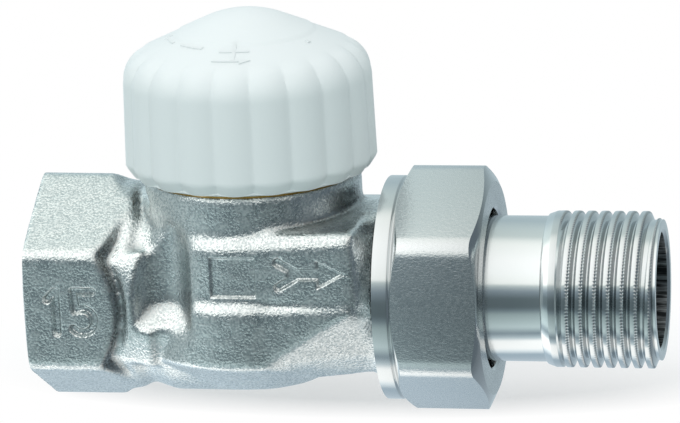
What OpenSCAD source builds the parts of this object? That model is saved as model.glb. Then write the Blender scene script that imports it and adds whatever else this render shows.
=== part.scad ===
// Thermostatic radiator valve, straight pattern, with its screw cap and union tailpiece.
// X is the flow direction, from the inlet face to the tailpiece. Z is the stem axis, upwards.
// The origin is the centre of the inlet mouth. Sizes are millimetres.

/* [Cast body] */
// Distance from the inlet face to the stem axis
inlet_to_stem = 29.2; // [28.5:0.1:32]
// Distance from the stem axis to the body's outlet end
stem_to_outlet = 27.2; // [26.8:0.1:30]
// Spanner size of the inlet hexagon
inlet_hex_af = 27.5; // [26:0.5:29]
// Length of the inlet hexagon
inlet_hex_len = 12.9; // [11:0.1:13.4]
// Radius of the cylinder that takes the hexagon's corners off
inlet_corner_r = 15.4; // [15:0.1:16.4]
// Radius of the waist behind the hexagon
waist_r = 13.2; // [12.6:0.1:13.6]
// Radius of the barrel about the flow axis
barrel_r = 14.2; // [13.8:0.1:14.8]
// How far the bowl stands out from the neck
bowl_over_neck = 2.1; // [1.7:0.1:2.7]
// Depth of the bowl below the flow axis
bowl_depth = 13.5; // [13.3:0.1:15]
// Height of the bowl's upright wall below the flow axis
bowl_wall_drop = 6.8; // [5:0.1:8]
// How far the raised side pads stand out from the neck
pad_over_neck = 1.1; // [0.7:0.1:1.5]
// Height of the foot of the side pads above the flow axis
pad_foot_z = 1.9; // [1:0.1:3]
// Height of the side pads' upright face
pad_face_h = 7.3; // [6:0.1:8]
// Radius of the outlet neck
outlet_neck_r = 11.6; // [11.4:0.1:12]
// Height of the outlet neck's axis above the flow axis
outlet_neck_rise = 0.5; // [0:0.05:0.5]
// Radius of the scoops beside the pads
scoop_r = 4.3; // [3.5:0.1:4.6]
// Depth of the scoops from the barrel's side
scoop_depth = 3.0; // [2:0.1:3.2]
// How far the neck lies inside the outside of its thread
neck_under_thread = 0.3; // [0.1:0.05:0.6]

/* [Flow ways] */
// Bore of the tapped inlet, at the crests of its thread
inlet_thread_bore = 18.631; // [18.4:0.001:18.9]
// Length of the tapped inlet
inlet_thread_len = 13.6; // [12:0.1:14.5]
// Bore of the plain water ways
water_bore = 17.0; // [16:0.1:17.6]
// Height of the valve seat above the flow axis
seat_z = 2.6; // [2.2:0.1:3]
// Bore of the valve seat
seat_bore = 10.4; // [9.6:0.1:11]
// Width of the seat's raised lip
seat_lip_w = 0.9; // [0.7:0.1:1.2]
// Thickness of the wall that holds the seat
seat_wall = 2.6; // [2:0.1:3]

/* [Head thread and insert] */
// Thread on the neck, that the cap screws on
head_thread_d = 30; // [29.8:0.1:30.4]
// Pitch of the head thread
head_thread_pitch = 1.5; // [1:0.25:2]
// Length of the head thread
head_thread_len = 9.2; // [8:0.1:10]
// Thread that holds the insert in the neck
insert_thread_d = 24; // [23.4:0.1:24.4]
// Height of the insert's ledge above the seat
ledge_above_seat = 8.4; // [8:0.1:9]
// Length of the insert's thread
insert_thread_len = 8; // [7:0.1:9]
// Spanner size of the insert
insert_af = 19; // [18:0.5:20]
// Height of the insert's hexagon
insert_hex_h = 5.5; // [5:0.1:6.5]
// Height of the insert's top collar
insert_collar_h = 2.5; // [2.2:0.1:3]
// Length of the insert's nose below its ledge
insert_nose_len = 2.9; // [2.6:0.1:3]
// Spanner size of the gland nut
gland_af = 13; // [12:0.5:13]
// Height of the gland nut's hexagon
gland_hex_h = 2; // [1.5:0.1:2.6]
// Thread of the gland nut
gland_thread_d = 11; // [10.6:0.1:11.4]
// Length of the gland nut below its hexagon
gland_stem_len = 3.8; // [3.6:0.1:4]

/* [Stem] */
// Lift of the stem from shut to open
lift = 3; // [2:0.1:3]
// Diameter of the stem
stem_d = 4; // [3.6:0.1:4.4]
// Diameter of the stud that carries the disc
stud_d = 3; // [2.6:0.1:3.2]
// Diameter of the pressure pin
pin_d = 3; // [2.6:0.1:3.2]
// Length of pin that stands out of the gland nut when shut
pin_out = 2; // [1.6:0.1:2.6]
// Radius of the disc holder
holder_r = 6.9; // [6.7:0.1:7]
// Thickness of the rubber seat washer
rubber_t = 1.8; // [1.5:0.1:2]
// Thickness of the disc holder's floor
holder_t = 1.2; // [1:0.1:1.3]
// Wire diameter of the return spring
spring_wire = 0.7; // [0.5:0.05:0.75]
// Mean radius of the return spring
spring_r = 3.6; // [3.3:0.1:3.9]
// Turns of the return spring
spring_turns = 3.25; // [2.5:0.25:3.5]

/* [Screw cap] */
// Wall of the cap's skirt over its thread, at the lobes
cap_wall = 1.94; // [1.7:0.02:2.6]
// Draft of the skirt, from the rim up to the shoulder
cap_draft = 0.25; // [0:0.05:0.5]
// Number of lobes around the cap
cap_lobes = 20; // [16:1:24]
// Depth of the creases between the lobes
crease_depth = 0.5; // [0.3:0.05:0.6]
// Height from the lip to where the shoulder starts to round
cap_skirt_h = 12.5; // [11.5:0.1:13.5]
// Radius of the rounded shoulder
shoulder_round = 4.5; // [3.5:0.1:5]
// Slope of the roof in degrees
roof_slope = 23.7; // [18:0.1:26]
// Radius of the crown's curve
crown_round = 13.9; // [11:0.1:15]
// Thickness of the roof
roof_t = 1.9; // [1.5:0.1:2.4]
// How far the lip lies inside the lobes
lip_step = 1.3; // [1:0.05:1.4]
// Gap between the lip and the neck's shoulder when shut
lip_gap = 0.4; // [0.3:0.05:0.8]
// Number of stiffening ribs under the roof
cap_ribs = 6; // [4:1:8]

/* [Union nut] */
// Outside diameter of the union thread
union_thread_d = 26.44; // [26.3:0.01:26.6]
// Spanner size of the union nut
nut_af = 29.9; // [29.5:0.1:31]
// Length of the nut's hexagon
nut_hex_len = 9.3; // [8.6:0.1:10]
// Length of the nut's round collar with its groove
nut_collar_len = 3.7; // [3.2:0.1:3.8]
// Radius of the nut's round collar
nut_collar_r = 15.05; // [14.9:0.05:15.3]
// Turn of the nut's flats from upright, in degrees
nut_clock = -5; // [-30:1:30]
// Thickness of the nut's end wall
nut_end_wall = 2.6; // [2.2:0.1:3]

/* [Tailpiece] */
// Diameter of the tailpiece's shank
shank_d = 19.5; // [19.2:0.1:19.8]
// Length of the plain shank outside the nut
shank_len = 8.2; // [7:0.1:10]
// Diameter over the tailpiece's pipe thread
tail_thread_d = 20.955; // [20.8:0.005:21.1]
// Length of the pipe thread
tail_thread_len = 13.4; // [12:0.1:15]
// Bore of the tailpiece
tail_bore = 15.5; // [15:0.1:16]
// Radius of the tailpiece's collar, held by the nut
tail_collar_r = 11.9; // [11.7:0.1:12]
// Height of the two lugs inside the bore, for the fitting key
key_lug_h = 1.3; // [1:0.1:1.5]

/* [Hidden] */
$fn = 64;
e = 0.5; // how far a cut runs past the face that it opens
run = 0.03; // radial clearance of what slides
seal_gap = 0.02; // gap at a seal or a seat that opens

// Places along the flow axis
stem_x = inlet_to_stem;
outlet_x = stem_x + stem_to_outlet;
waist_x = inlet_hex_len + 2.0;
barrel_x = waist_x + 3.6;
outlet_neck_x = stem_x + 11.6;
union_thread_x = outlet_x - 7.6;
nut_x = outlet_x - 8.8;
nut_hex_x = nut_x + nut_collar_len;
nut_end_x = nut_hex_x + nut_hex_len;
nut_shoulder_x = nut_end_x - nut_end_wall;
tail_thread_x = nut_end_x + shank_len + 2.1;
tail_end_x = tail_thread_x + tail_thread_len;
nose_cone = 2.1;
nose_x = outlet_x - nose_cone;

// Water ways
way_r = water_bore / 2;
lip_h = 1.2;
inlet_end_x = stem_x - 12.2;
outlet_way_x = stem_x + 8.4;
low_floor_z = -8.5;
low_wall_z = seat_z - lip_h - seat_wall;
low_room_r = 6.0;

// Radii about the stem axis
neck_r = head_thread_d / 2 - neck_under_thread;
bowl_r = neck_r + bowl_over_neck;
pad_r = neck_r + pad_over_neck;

// Places along the stem axis, from the seat up
ledge_z = seat_z + ledge_above_seat;
nose_z = ledge_z - insert_nose_len;
insert_hex_z = ledge_z + insert_thread_len;
insert_collar_z = insert_hex_z + insert_hex_h;
insert_top_z = insert_collar_z + insert_collar_h;
neck_top_z = insert_top_z - 0.2;
gland_foot_z = insert_top_z - gland_stem_len;
gland_top_z = insert_top_z + gland_hex_h;
pin_top_z = gland_top_z + pin_out;
head_thread_z = neck_top_z - head_thread_len;
undercut_h = 1.4;
shoulder_z = head_thread_z - undercut_h;
lip_z = shoulder_z + lip_gap;
pin_foot_z = gland_foot_z - lift - 0.3 - 0.7;
stem_top_z = pin_foot_z;
clip_t = 0.6;
clip_z = stem_top_z - 0.4 - clip_t;
collar_t = 0.8;
collar_z = clip_z - collar_t;

// Small seals and washers
pin_seal_room = 1.45; // width of the room round the pin, for its seal
pin_seal_h = 2.4;
pin_seal_r = pin_d / 2 + pin_seal_room;
gland_groove = 0.8;
gland_groove_h = 1.2;
gland_seal_section = 0.5;
pin_seal_section = 0.7;
pin_washer_t = 0.8;
insert_seal_section = 0.62;
clamp_washer_reach = 2.1;
spring_side_room = 1.25;
nut_hole_room = 0.95; // gap between the union nut's hole and the shank

// Places inside the insert
disc_recess_z = nose_z + 0.9;
o_ring_pocket_z = disc_recess_z + 0.7;
bush_z = o_ring_pocket_z + 1.5;
spring_foot_z = bush_z + 1.8;
pocket_r = 3.6;
spring_room_r = spring_r + spring_wire / 2 + spring_side_room;
seal_bore_r = insert_thread_d / 2 - 1.8;
neck_bore_r = insert_thread_d / 2 + 0.8;

// Places on the disc
rubber_z = seat_z;
holder_z = rubber_z + rubber_t;
stem_shoulder_z = holder_z + holder_t;
clamp_washer_t = 0.8;
clamp_nut_h = 1.8;
clamp_nut_af = 5.5;

// Cap outline, measured from its lip
rim_h = 1.4;
cap_bore_r = head_thread_d / 2 + 0.06;
cap_r = cap_bore_r + cap_wall;
lip_r = cap_r - lip_step;
cap_top_skirt_r = cap_r - cap_draft;
roof_tangent_r = cap_top_skirt_r - shoulder_round + shoulder_round * sin(roof_slope);
roof_tangent_h = cap_skirt_h + shoulder_round * cos(roof_slope);
crown_r = crown_round * sin(roof_slope);
crown_h = roof_tangent_h + (roof_tangent_r - crown_r) * tan(roof_slope);
apex_h = crown_h + crown_round * (1 - cos(roof_slope));
marks_disc_r = 9.1;
marks_disc_step = 0.25;
cap_bore_h = neck_top_z - lip_z + 0.5;
boss_r = 3.4;

// A revolve about the flow axis, its profile in (radius, place along X)
module about_x(profile) {
    rotate([0, 90, 0]) rotate_extrude() polygon(profile);
}

// A revolve about the stem axis, its profile in (radius, height)
module about_stem(profile) {
    translate([stem_x, 0, 0]) rotate_extrude() polygon(profile);
}

// A round hole along the flow axis
module hole_x(r, from_x, to_x) {
    translate([from_x, 0, 0]) rotate([0, 90, 0]) cylinder(r = r, h = to_x - from_x);
}

// A round hole or post on the stem axis
module post(r, from_z, to_z) {
    translate([stem_x, 0, from_z]) cylinder(r = r, h = to_z - from_z);
}

// A ring of round section on the stem axis
module o_ring(inner_r, section_r, z) {
    translate([stem_x, 0, z]) rotate_extrude()
        translate([inner_r + section_r, 0]) circle(r = section_r, $fn = 32);
}

// A hexagonal prism on the stem axis, corners broken by a chamfer cone
module stem_hex(af, from_z, h) {
    corner = af / sqrt(3);
    soft = (corner - af / 2) * 0.8;
    intersection() {
        translate([stem_x, 0, from_z]) cylinder(r = corner, h = h, $fn = 6);
        about_stem([[0, from_z], [corner, from_z], [corner, from_z + h - soft * 0.6],
            [corner - soft, from_z + h], [0, from_z + h]]);
    }
}

// Points of an arc in a profile
function arc(cx, cy, r, from, to, steps) =
    [for (i = [0:steps]) let (a = from + (to - from) * i / steps)
        [cx + r * cos(a), cy + r * sin(a)]];

// Inlet hexagon with its chamfered mouth and the cone that runs into the waist
module inlet_hexagon() {
    hex_x0 = 1.1;
    corner_end_x = inlet_hex_len - 2.2;
    intersection() {
        rotate([0, 90, 0]) cylinder(d = inlet_hex_af / cos(30), h = waist_x, $fn = 6);
        about_x([[0, 0], [inlet_hex_af / 2 - 0.7, 0], [inlet_corner_r, hex_x0],
            [inlet_corner_r, corner_end_x], [waist_r, waist_x], [0, waist_x]]);
    }
}

// Barrel about the flow axis, from the hexagon's back to the bowl
module barrel() {
    about_x([[0, inlet_hex_len], [inlet_hex_af / 2, inlet_hex_len], [waist_r, waist_x],
        [waist_r, waist_x + 0.5], [barrel_r, barrel_x], [barrel_r, stem_x], [0, stem_x]]);
}

// Bowl under the seat: an upright wall, a sloping floor and a small flat foot,
// cut back by a cone towards the outlet
module bowl() {
    foot_r = 3.5;
    heel_r = 9.0;
    cut_x = 3.8;
    intersection() {
        about_stem([[0, -bowl_depth], [foot_r, -bowl_depth], [heel_r, -bowl_depth + 1.5],
            [bowl_r, -bowl_wall_drop], [bowl_r, pad_foot_z - 1.0], [bowl_r - 1.2, pad_foot_z + 0.4],
            [0, pad_foot_z + 0.4]]);
        about_x([[0, stem_x - 20], [bowl_r + 1.1, stem_x - 20], [bowl_r + 1.1, stem_x + cut_x],
            [outlet_neck_r, outlet_neck_x + 1.0], [outlet_neck_r, stem_x + 20], [0, stem_x + 20]]);
    }
}

// Plan of the side pads: a disc on the stem axis, drawn out straight towards the outlet
module pad_plan(r) {
    reach = union_thread_x - 3.1 - stem_x;
    end_y = r - 0.5;
    corner = 1.6;
    circle(r = r);
    polygon([[0, r], [reach - corner, end_y], [reach - corner * 0.5, end_y - corner * 0.13],
        [reach - corner * 0.13, end_y - corner * 0.5], [reach, end_y - corner],
        [reach, corner - end_y], [reach - corner * 0.13, corner * 0.5 - end_y],
        [reach - corner * 0.5, corner * 0.13 - end_y], [reach - corner, -end_y], [0, -r]]);
}

// Side pads, with a sloping ledge from their upright face up to the neck, a low roof between them
// over the outlet neck, and a slanting underside that runs into it
module pads() {
    base_z = pad_foot_z - 2;
    face_top_z = pad_foot_z + pad_face_h;
    ledge_top_z = face_top_z + 2.2;
    ledge_r = pad_r - 1.5;
    roof_z = outlet_neck_r + outlet_neck_rise - 0.1;
    keel_y = outlet_neck_r * 0.8;
    keel_z = -outlet_neck_r * 0.5;
    intersection() {
        translate([stem_x, 0, keel_z]) linear_extrude(roof_z - keel_z) pad_plan(pad_r);
        union() {
            about_stem([[0, base_z], [pad_r, base_z], [pad_r, face_top_z], [ledge_r, ledge_top_z],
                [0, ledge_top_z]]);
            translate([stem_x, 0, 0]) rotate([90, 0, 90]) linear_extrude(pad_r + 4)
                polygon([[-pad_r, pad_foot_z + 0.7], [-keel_y, keel_z], [keel_y, keel_z],
                    [pad_r, pad_foot_z + 0.7], [pad_r, face_top_z], [ledge_r, ledge_top_z],
                    [4, roof_z], [-4, roof_z], [-ledge_r, ledge_top_z], [-pad_r, face_top_z]]);
        }
    }
}

// Neck about the stem axis: cast part, undercut, and the head thread at its outside diameter
module neck() {
    chamfer = 0.8;
    undercut_r = head_thread_d / 2 - head_thread_pitch * 0.7;
    about_stem([[0, 0], [neck_r, 0], [neck_r, shoulder_z - 0.4], [neck_r - 0.3, shoulder_z - 0.15],
        [undercut_r, shoulder_z - 0.15], [undercut_r, head_thread_z],
        [head_thread_d / 2, head_thread_z + 0.6],
        [head_thread_d / 2, neck_top_z - chamfer], [head_thread_d / 2 - chamfer, neck_top_z],
        [0, neck_top_z]]);
}

// Outlet neck and the stub that carries the union thread
module outlet_stub() {
    thread_r = union_thread_d / 2;
    translate([0, 0, outlet_neck_rise])
        hole_x(outlet_neck_r, stem_x, union_thread_x - 1.4);
    about_x([[0, stem_x], [outlet_neck_r - 1, stem_x], [outlet_neck_r - 1, union_thread_x - 1.4],
        [thread_r - 1.3, union_thread_x - 1.4], [thread_r - 1.3, union_thread_x - 0.6],
        [thread_r, union_thread_x], [thread_r, outlet_x - 1.0], [thread_r - 1.0, outlet_x], [0, outlet_x]]);
}

// A scoop beside a pad: an upright round groove with a floor that slopes outwards
module scoop() {
    scoop_x = stem_x - 10.2;
    scoop_y = barrel_r + scoop_r - scoop_depth;
    floor_z = -2.3;
    intersection() {
        translate([scoop_x, -scoop_y, floor_z - 6]) cylinder(r = scoop_r, h = 20);
        translate([scoop_x, -barrel_r, floor_z]) rotate([45, 0, 0])
            translate([-20, -20, 0]) cube([40, 40, 40]);
    }
}

// Tapped inlet and the plain way behind it
module tapped_inlet() {
    r = inlet_thread_bore / 2;
    about_x([[0, -e], [r + 0.4 + e, -e], [r, 0.4], [r, inlet_thread_len],
        [way_r, inlet_thread_len + 0.8], [way_r, inlet_end_x], [0, inlet_end_x]]);
}

// Way from the inlet to the room under the seat
module way_under_seat() {
    way_w = 10.6;
    translate([inlet_end_x - e, -way_w / 2, low_floor_z])
        cube([stem_x - inlet_end_x + e, way_w, low_wall_z - low_floor_z]);
}

// Chamber over the seat, round the raised lip
module chamber_over_seat() {
    difference() {
        post(seal_bore_r, seat_z - lip_h, nose_z);
        post(seat_bore / 2 + seat_lip_w, seat_z - lip_h - e, seat_z);
    }
}

// Way out of the chamber, ending in the cone that the tailpiece's nose seals on
module way_out() {
    about_x([[0, outlet_way_x], [way_r, outlet_way_x], [way_r, nose_x], [way_r + nose_cone, outlet_x],
        [way_r + nose_cone + e, outlet_x + e], [0, outlet_x + e]]);
}

// Stepped bore of the neck: sealing bore, thread for the insert, room for its spanner
module neck_bore() {
    about_stem([[0, nose_z - e], [seal_bore_r, nose_z - e], [seal_bore_r, ledge_z],
        [insert_thread_d / 2 + run, ledge_z], [insert_thread_d / 2 + run, insert_hex_z - 0.2],
        [neck_bore_r, insert_hex_z + 0.6], [neck_bore_r, neck_top_z + e], [0, neck_top_z + e]]);
}

module valve_body() {
    color([0.66, 0.67, 0.68]) difference() {
        union() {
            inlet_hexagon();
            barrel();
            bowl();
            pads();
            neck();
            outlet_stub();
        }
        scoop();
        mirror([0, 1, 0]) scoop();
        tapped_inlet();
        way_under_seat();
        post(low_room_r, low_floor_z - 1.6, low_wall_z);
        post(seat_bore / 2, low_wall_z - e, seat_z + e);
        chamber_over_seat();
        way_out();
        neck_bore();
    }
}

// Brass insert: nose with its seal groove, thread, hexagon and the room for the spring
module insert_body() {
    groove_z = nose_z + 0.8;
    groove_h = 1.4;
    groove_r = seal_bore_r - 1.3;
    nose_r = seal_bore_r - 0.05;
    gland_r = gland_thread_d / 2;
    color([0.80, 0.66, 0.36]) difference() {
        union() {
            about_stem([[0, nose_z], [nose_r, nose_z], [nose_r, groove_z], [groove_r, groove_z],
                [groove_r, groove_z + groove_h], [nose_r, groove_z + groove_h], [nose_r, ledge_z],
                [insert_thread_d / 2, ledge_z], [insert_thread_d / 2, insert_hex_z - 1.0],
                [insert_thread_d / 2 - 1.0, insert_hex_z], [0, insert_hex_z]]);
            stem_hex(insert_af, insert_hex_z, insert_hex_h);
            post(gland_r + 2.1, insert_collar_z, insert_top_z);
        }
        about_stem([[0, nose_z - e], [holder_r + 0.5, nose_z - e], [holder_r + 0.5, disc_recess_z],
            [stem_d / 2 + 0.1, disc_recess_z], [stem_d / 2 + 0.1, o_ring_pocket_z],
            [pocket_r, o_ring_pocket_z], [pocket_r, spring_foot_z], [spring_room_r, spring_foot_z],
            [spring_room_r, gland_foot_z - 0.3], [gland_r, gland_foot_z - 0.3],
            [gland_r, insert_top_z - gland_groove_h], [gland_r + 0.3, insert_top_z - gland_groove_h],
            [gland_r + 0.3, insert_top_z + e], [0, insert_top_z + e]]);
    }
}

module insert_o_ring() {
    color([0.08, 0.08, 0.09]) o_ring(seal_bore_r - 1.3 + seal_gap, insert_seal_section, nose_z + 0.8 + 0.7);
}

module guide_bush() {
    color([0.93, 0.92, 0.88]) difference() {
        post(pocket_r, bush_z, spring_foot_z);
        post(stem_d / 2 + run, bush_z - e, spring_foot_z + e);
    }
}

module stem_o_ring() {
    section = (pocket_r - stem_d / 2 - 2 * seal_gap) / 2;
    color([0.08, 0.08, 0.09])
        o_ring(stem_d / 2 + seal_gap, min(section, 0.74), (o_ring_pocket_z + bush_z) / 2);
}

// Height of the spring's wire along its turns, closer at both ends, t from 0 to 1
function spring_rise(t, room) = spring_wire / 2 + (room - spring_wire) * (t - 0.5 * sin(360 * t) / (2 * PI));

// Return spring, held between the insert's floor and the collar on the stem
module return_spring() {
    sides = 8;
    rings = round(spring_turns * 20);
    room = collar_z - spring_foot_z;
    points = [for (i = [0:rings], k = [0:sides - 1])
        let (t = i / rings, a = 360 * spring_turns * t, b = 360 * k / sides,
            r = spring_r + spring_wire / 2 * cos(b))
        [stem_x + r * cos(a), r * sin(a), spring_foot_z + spring_rise(t, room) + spring_wire / 2 * sin(b)]];
    walls = [for (i = [0:rings - 1], k = [0:sides - 1])
        let (a = i * sides + k, b = i * sides + (k + 1) % sides) [a, b, b + sides, a + sides]];
    ends = [[for (k = [sides - 1:-1:0]) k], [for (k = [0:sides - 1]) rings * sides + k]];
    color([0.78, 0.79, 0.80]) polyhedron(points = points, faces = concat(walls, ends));
}

// Gland nut: the hexagon over the insert, the thread in it, and the pin's seal room
module gland_nut() {
    r = gland_thread_d / 2;
    groove_r = r - gland_groove;
    color([0.80, 0.66, 0.36]) difference() {
        union() {
            about_stem([[0, gland_foot_z], [r - 0.3, gland_foot_z], [r, gland_foot_z + 0.3],
                [r, insert_top_z - gland_groove_h], [groove_r, insert_top_z - gland_groove_h],
                [groove_r, insert_top_z],
                [0, insert_top_z]]);
            stem_hex(gland_af, insert_top_z, gland_hex_h);
        }
        about_stem([[0, gland_foot_z - e], [pin_seal_r, gland_foot_z - e],
            [pin_seal_r, gland_foot_z + pin_seal_h], [pin_d / 2 + run, gland_foot_z + pin_seal_h],
            [pin_d / 2 + run, gland_top_z + e], [0, gland_top_z + e]]);
    }
}

module gland_o_ring() {
    color([0.08, 0.08, 0.09])
        o_ring(gland_thread_d / 2 - gland_groove + seal_gap, gland_seal_section,
            insert_top_z - gland_groove_h / 2);
}

module pin_o_ring() {
    color([0.08, 0.08, 0.09])
        o_ring(pin_d / 2 + seal_gap, pin_seal_section, gland_foot_z + (pin_washer_t + pin_seal_h) / 2);
}

module pin_washer() {
    color([0.93, 0.92, 0.88]) difference() {
        post(pin_seal_r, gland_foot_z, gland_foot_z + pin_washer_t);
        post(pin_d / 2 + run, gland_foot_z - e, gland_foot_z + pin_washer_t + e);
    }
}

// Pressure pin: a head under the gland nut keeps it in, its rounded end meets the cap
module pressure_pin() {
    r = pin_d / 2;
    head_h = 0.7;
    color([0.80, 0.81, 0.82]) about_stem([[0, pin_foot_z], [r + 0.9, pin_foot_z],
        [r + 0.9, pin_foot_z + head_h], [r, pin_foot_z + head_h], [r, pin_top_z - 0.5],
        [r - 0.5, pin_top_z], [0, pin_top_z]]);
}

// Stem: a thin stud through the disc, a shoulder on the disc holder, a groove for the circlip
module stem() {
    r = stem_d / 2;
    stud_end_z = seat_z - clamp_washer_t - clamp_nut_h - 0.5;
    color([0.80, 0.81, 0.82]) about_stem([[0, stud_end_z], [stud_d / 2 - 0.4, stud_end_z],
        [stud_d / 2, stud_end_z + 0.4], [stud_d / 2, stem_shoulder_z], [r, stem_shoulder_z],
        [r, clip_z], [r - 0.5, clip_z], [r - 0.5, clip_z + clip_t], [r, clip_z + clip_t],
        [r, stem_top_z - 0.2], [r - 0.2, stem_top_z], [0, stem_top_z]]);
}

module spring_collar() {
    color([0.80, 0.66, 0.36]) difference() {
        post(spring_r + spring_wire / 2 + 0.85, collar_z, collar_z + collar_t);
        post(stem_d / 2 + run, collar_z - e, collar_z + collar_t + e);
    }
}

module stem_circlip() {
    slot = stem_d - 1.4;
    color([0.35, 0.36, 0.38]) difference() {
        post(stem_d / 2 + 1.4, clip_z, clip_z + clip_t);
        post(stem_d / 2 - 0.5 + run, clip_z - e, clip_z + clip_t + e);
        translate([stem_x, -slot / 2, clip_z - e]) cube([stem_d, slot, clip_t + 2 * e]);
    }
}

// Cup that backs the rubber washer and holds its rim
module disc_holder() {
    wall = 0.7;
    rim_drop = rubber_t * 0.55;
    color([0.80, 0.66, 0.36]) about_stem([[stud_d / 2 + run, holder_z], [holder_r - wall, holder_z],
        [holder_r - wall, holder_z - rim_drop], [holder_r, holder_z - rim_drop],
        [holder_r, stem_shoulder_z - 0.4], [holder_r - 0.4, stem_shoulder_z],
        [stud_d / 2 + run, stem_shoulder_z]]);
}

module seat_washer() {
    color([0.10, 0.10, 0.11]) difference() {
        post(holder_r - 0.7 - seal_gap, rubber_z, holder_z);
        post(stud_d / 2 + run, rubber_z - e, holder_z + e);
    }
}

module clamp_washer() {
    color([0.80, 0.66, 0.36]) difference() {
        post(stud_d / 2 + clamp_washer_reach, seat_z - clamp_washer_t, seat_z);
        post(stud_d / 2 + run, seat_z - clamp_washer_t - e, seat_z + e);
    }
}

module clamp_nut() {
    foot_z = seat_z - clamp_washer_t - clamp_nut_h;
    color([0.80, 0.66, 0.36]) difference() {
        stem_hex(clamp_nut_af, foot_z, clamp_nut_h);
        post(stud_d / 2 + run, foot_z - e, foot_z + clamp_nut_h + e);
    }
}

// Outline of the cap: lip, chamfer to the rim, skirt, rounded shoulder, roof and crown
function cap_profile() = concat(
    [[0, lip_z], [lip_r, lip_z], [lip_r + 0.1, lip_z + 0.4], [cap_r, lip_z + rim_h]],
    [for (p = arc(cap_top_skirt_r - shoulder_round, lip_z + cap_skirt_h, shoulder_round,
        0, 90 - roof_slope, 8)) p],
    [[marks_disc_r + 0.2, lip_z + crown_h - (marks_disc_r + 0.2 - crown_r) * tan(roof_slope)],
        [marks_disc_r, lip_z + crown_h - (marks_disc_r - crown_r) * tan(roof_slope) + marks_disc_step]],
    [for (p = arc(0, lip_z + apex_h - crown_round + marks_disc_step, crown_round,
        90 - roof_slope, 90, 6)) p]);

// Lobes of the cap in plan: a core and one round for each lobe, meeting in sharp creases
module cap_lobes_plan() {
    half = 180 / cap_lobes;
    crease_r = cap_r - crease_depth;
    across = crease_r * sin(half);
    deep = crease_r * cos(half);
    lobe_c = (cap_r * cap_r - deep * deep - across * across) / (2 * (cap_r - deep));
    circle(r = crease_r - 0.3);
    for (i = [0:cap_lobes - 1])
        rotate(i * 2 * half) translate([lobe_c, 0]) circle(r = cap_r - lobe_c);
}

// Screw cap: lobed shell with a threaded skirt, a boss that presses the pin, and ribs
module screw_cap() {
    room_r = cap_bore_r - 1.0;
    room_top_h = crown_h - roof_t - (room_r - 3.0 - crown_r) * tan(roof_slope);
    rib_foot_z = insert_top_z + gland_hex_h + 0.5;
    color([0.90, 0.94, 0.94]) {
        difference() {
            intersection() {
                about_stem(cap_profile());
                translate([stem_x, 0, lip_z - e]) linear_extrude(apex_h + 2) cap_lobes_plan();
            }
            about_stem([[0, lip_z - e], [cap_bore_r, lip_z - e], [cap_bore_r, lip_z + cap_bore_h],
                [room_r, lip_z + cap_bore_h + 0.6], [room_r, lip_z + cap_skirt_h],
                [room_r - 3.0, lip_z + room_top_h], [crown_r, lip_z + crown_h - roof_t],
                [0, lip_z + apex_h - roof_t]]);
        }
        intersection() {
            about_stem([[0, pin_top_z + seal_gap], [boss_r, pin_top_z + seal_gap],
                [room_r - 0.5, lip_z + cap_skirt_h + 0.4], [room_r - 0.5, lip_z + cap_skirt_h + 1.6],
                [crown_r, lip_z + crown_h - roof_t + 0.6], [0, lip_z + apex_h - roof_t + 0.6]]);
            translate([stem_x, 0, 0]) union() {
                cylinder(r = boss_r, h = lip_z + apex_h);
                for (i = [0:cap_ribs - 1])
                    rotate(i * 360 / cap_ribs) translate([boss_r - 0.5, -0.5, rib_foot_z])
                        cube([room_r, 1, apex_h]);
            }
        }
    }
}

// Union nut: round collar, groove, chamfered hexagon, plain hole in its end wall
module union_nut() {
    thread_r = union_thread_d / 2 + 0.05;
    corner_r = nut_af / sqrt(3);
    groove = 1.1;
    hole_r = shank_d / 2 + nut_hole_room;
    color([0.72, 0.73, 0.74]) difference() {
        union() {
            about_x([[0, nut_x], [nut_collar_r - 0.3, nut_x], [nut_collar_r, nut_x + 0.3],
                [nut_collar_r, nut_hex_x - groove], [nut_collar_r - 0.7, nut_hex_x - groove],
                [nut_collar_r - 0.7, nut_hex_x + e], [0, nut_hex_x + e]]);
            intersection() {
                translate([nut_hex_x, 0, 0]) rotate([nut_clock, 0, 0]) rotate([0, 90, 0])
                    cylinder(r = corner_r, h = nut_hex_len, $fn = 6);
                about_x([[0, nut_hex_x], [corner_r - 0.25, nut_hex_x], [corner_r - 0.25, nut_end_x - 1.3],
                    [nut_af / 2 - 0.7, nut_end_x], [0, nut_end_x]]);
            }
        }
        about_x([[0, nut_x - e], [thread_r + 0.5 + e, nut_x - e], [thread_r, nut_x + 0.5],
            [thread_r, nut_shoulder_x], [0, nut_shoulder_x]]);
        about_x([[0, nut_x], [hole_r, nut_x], [hole_r, nut_end_x - 0.4], [hole_r + 0.4 + e, nut_end_x + e],
            [0, nut_end_x + e]]);
    }
}

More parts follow.
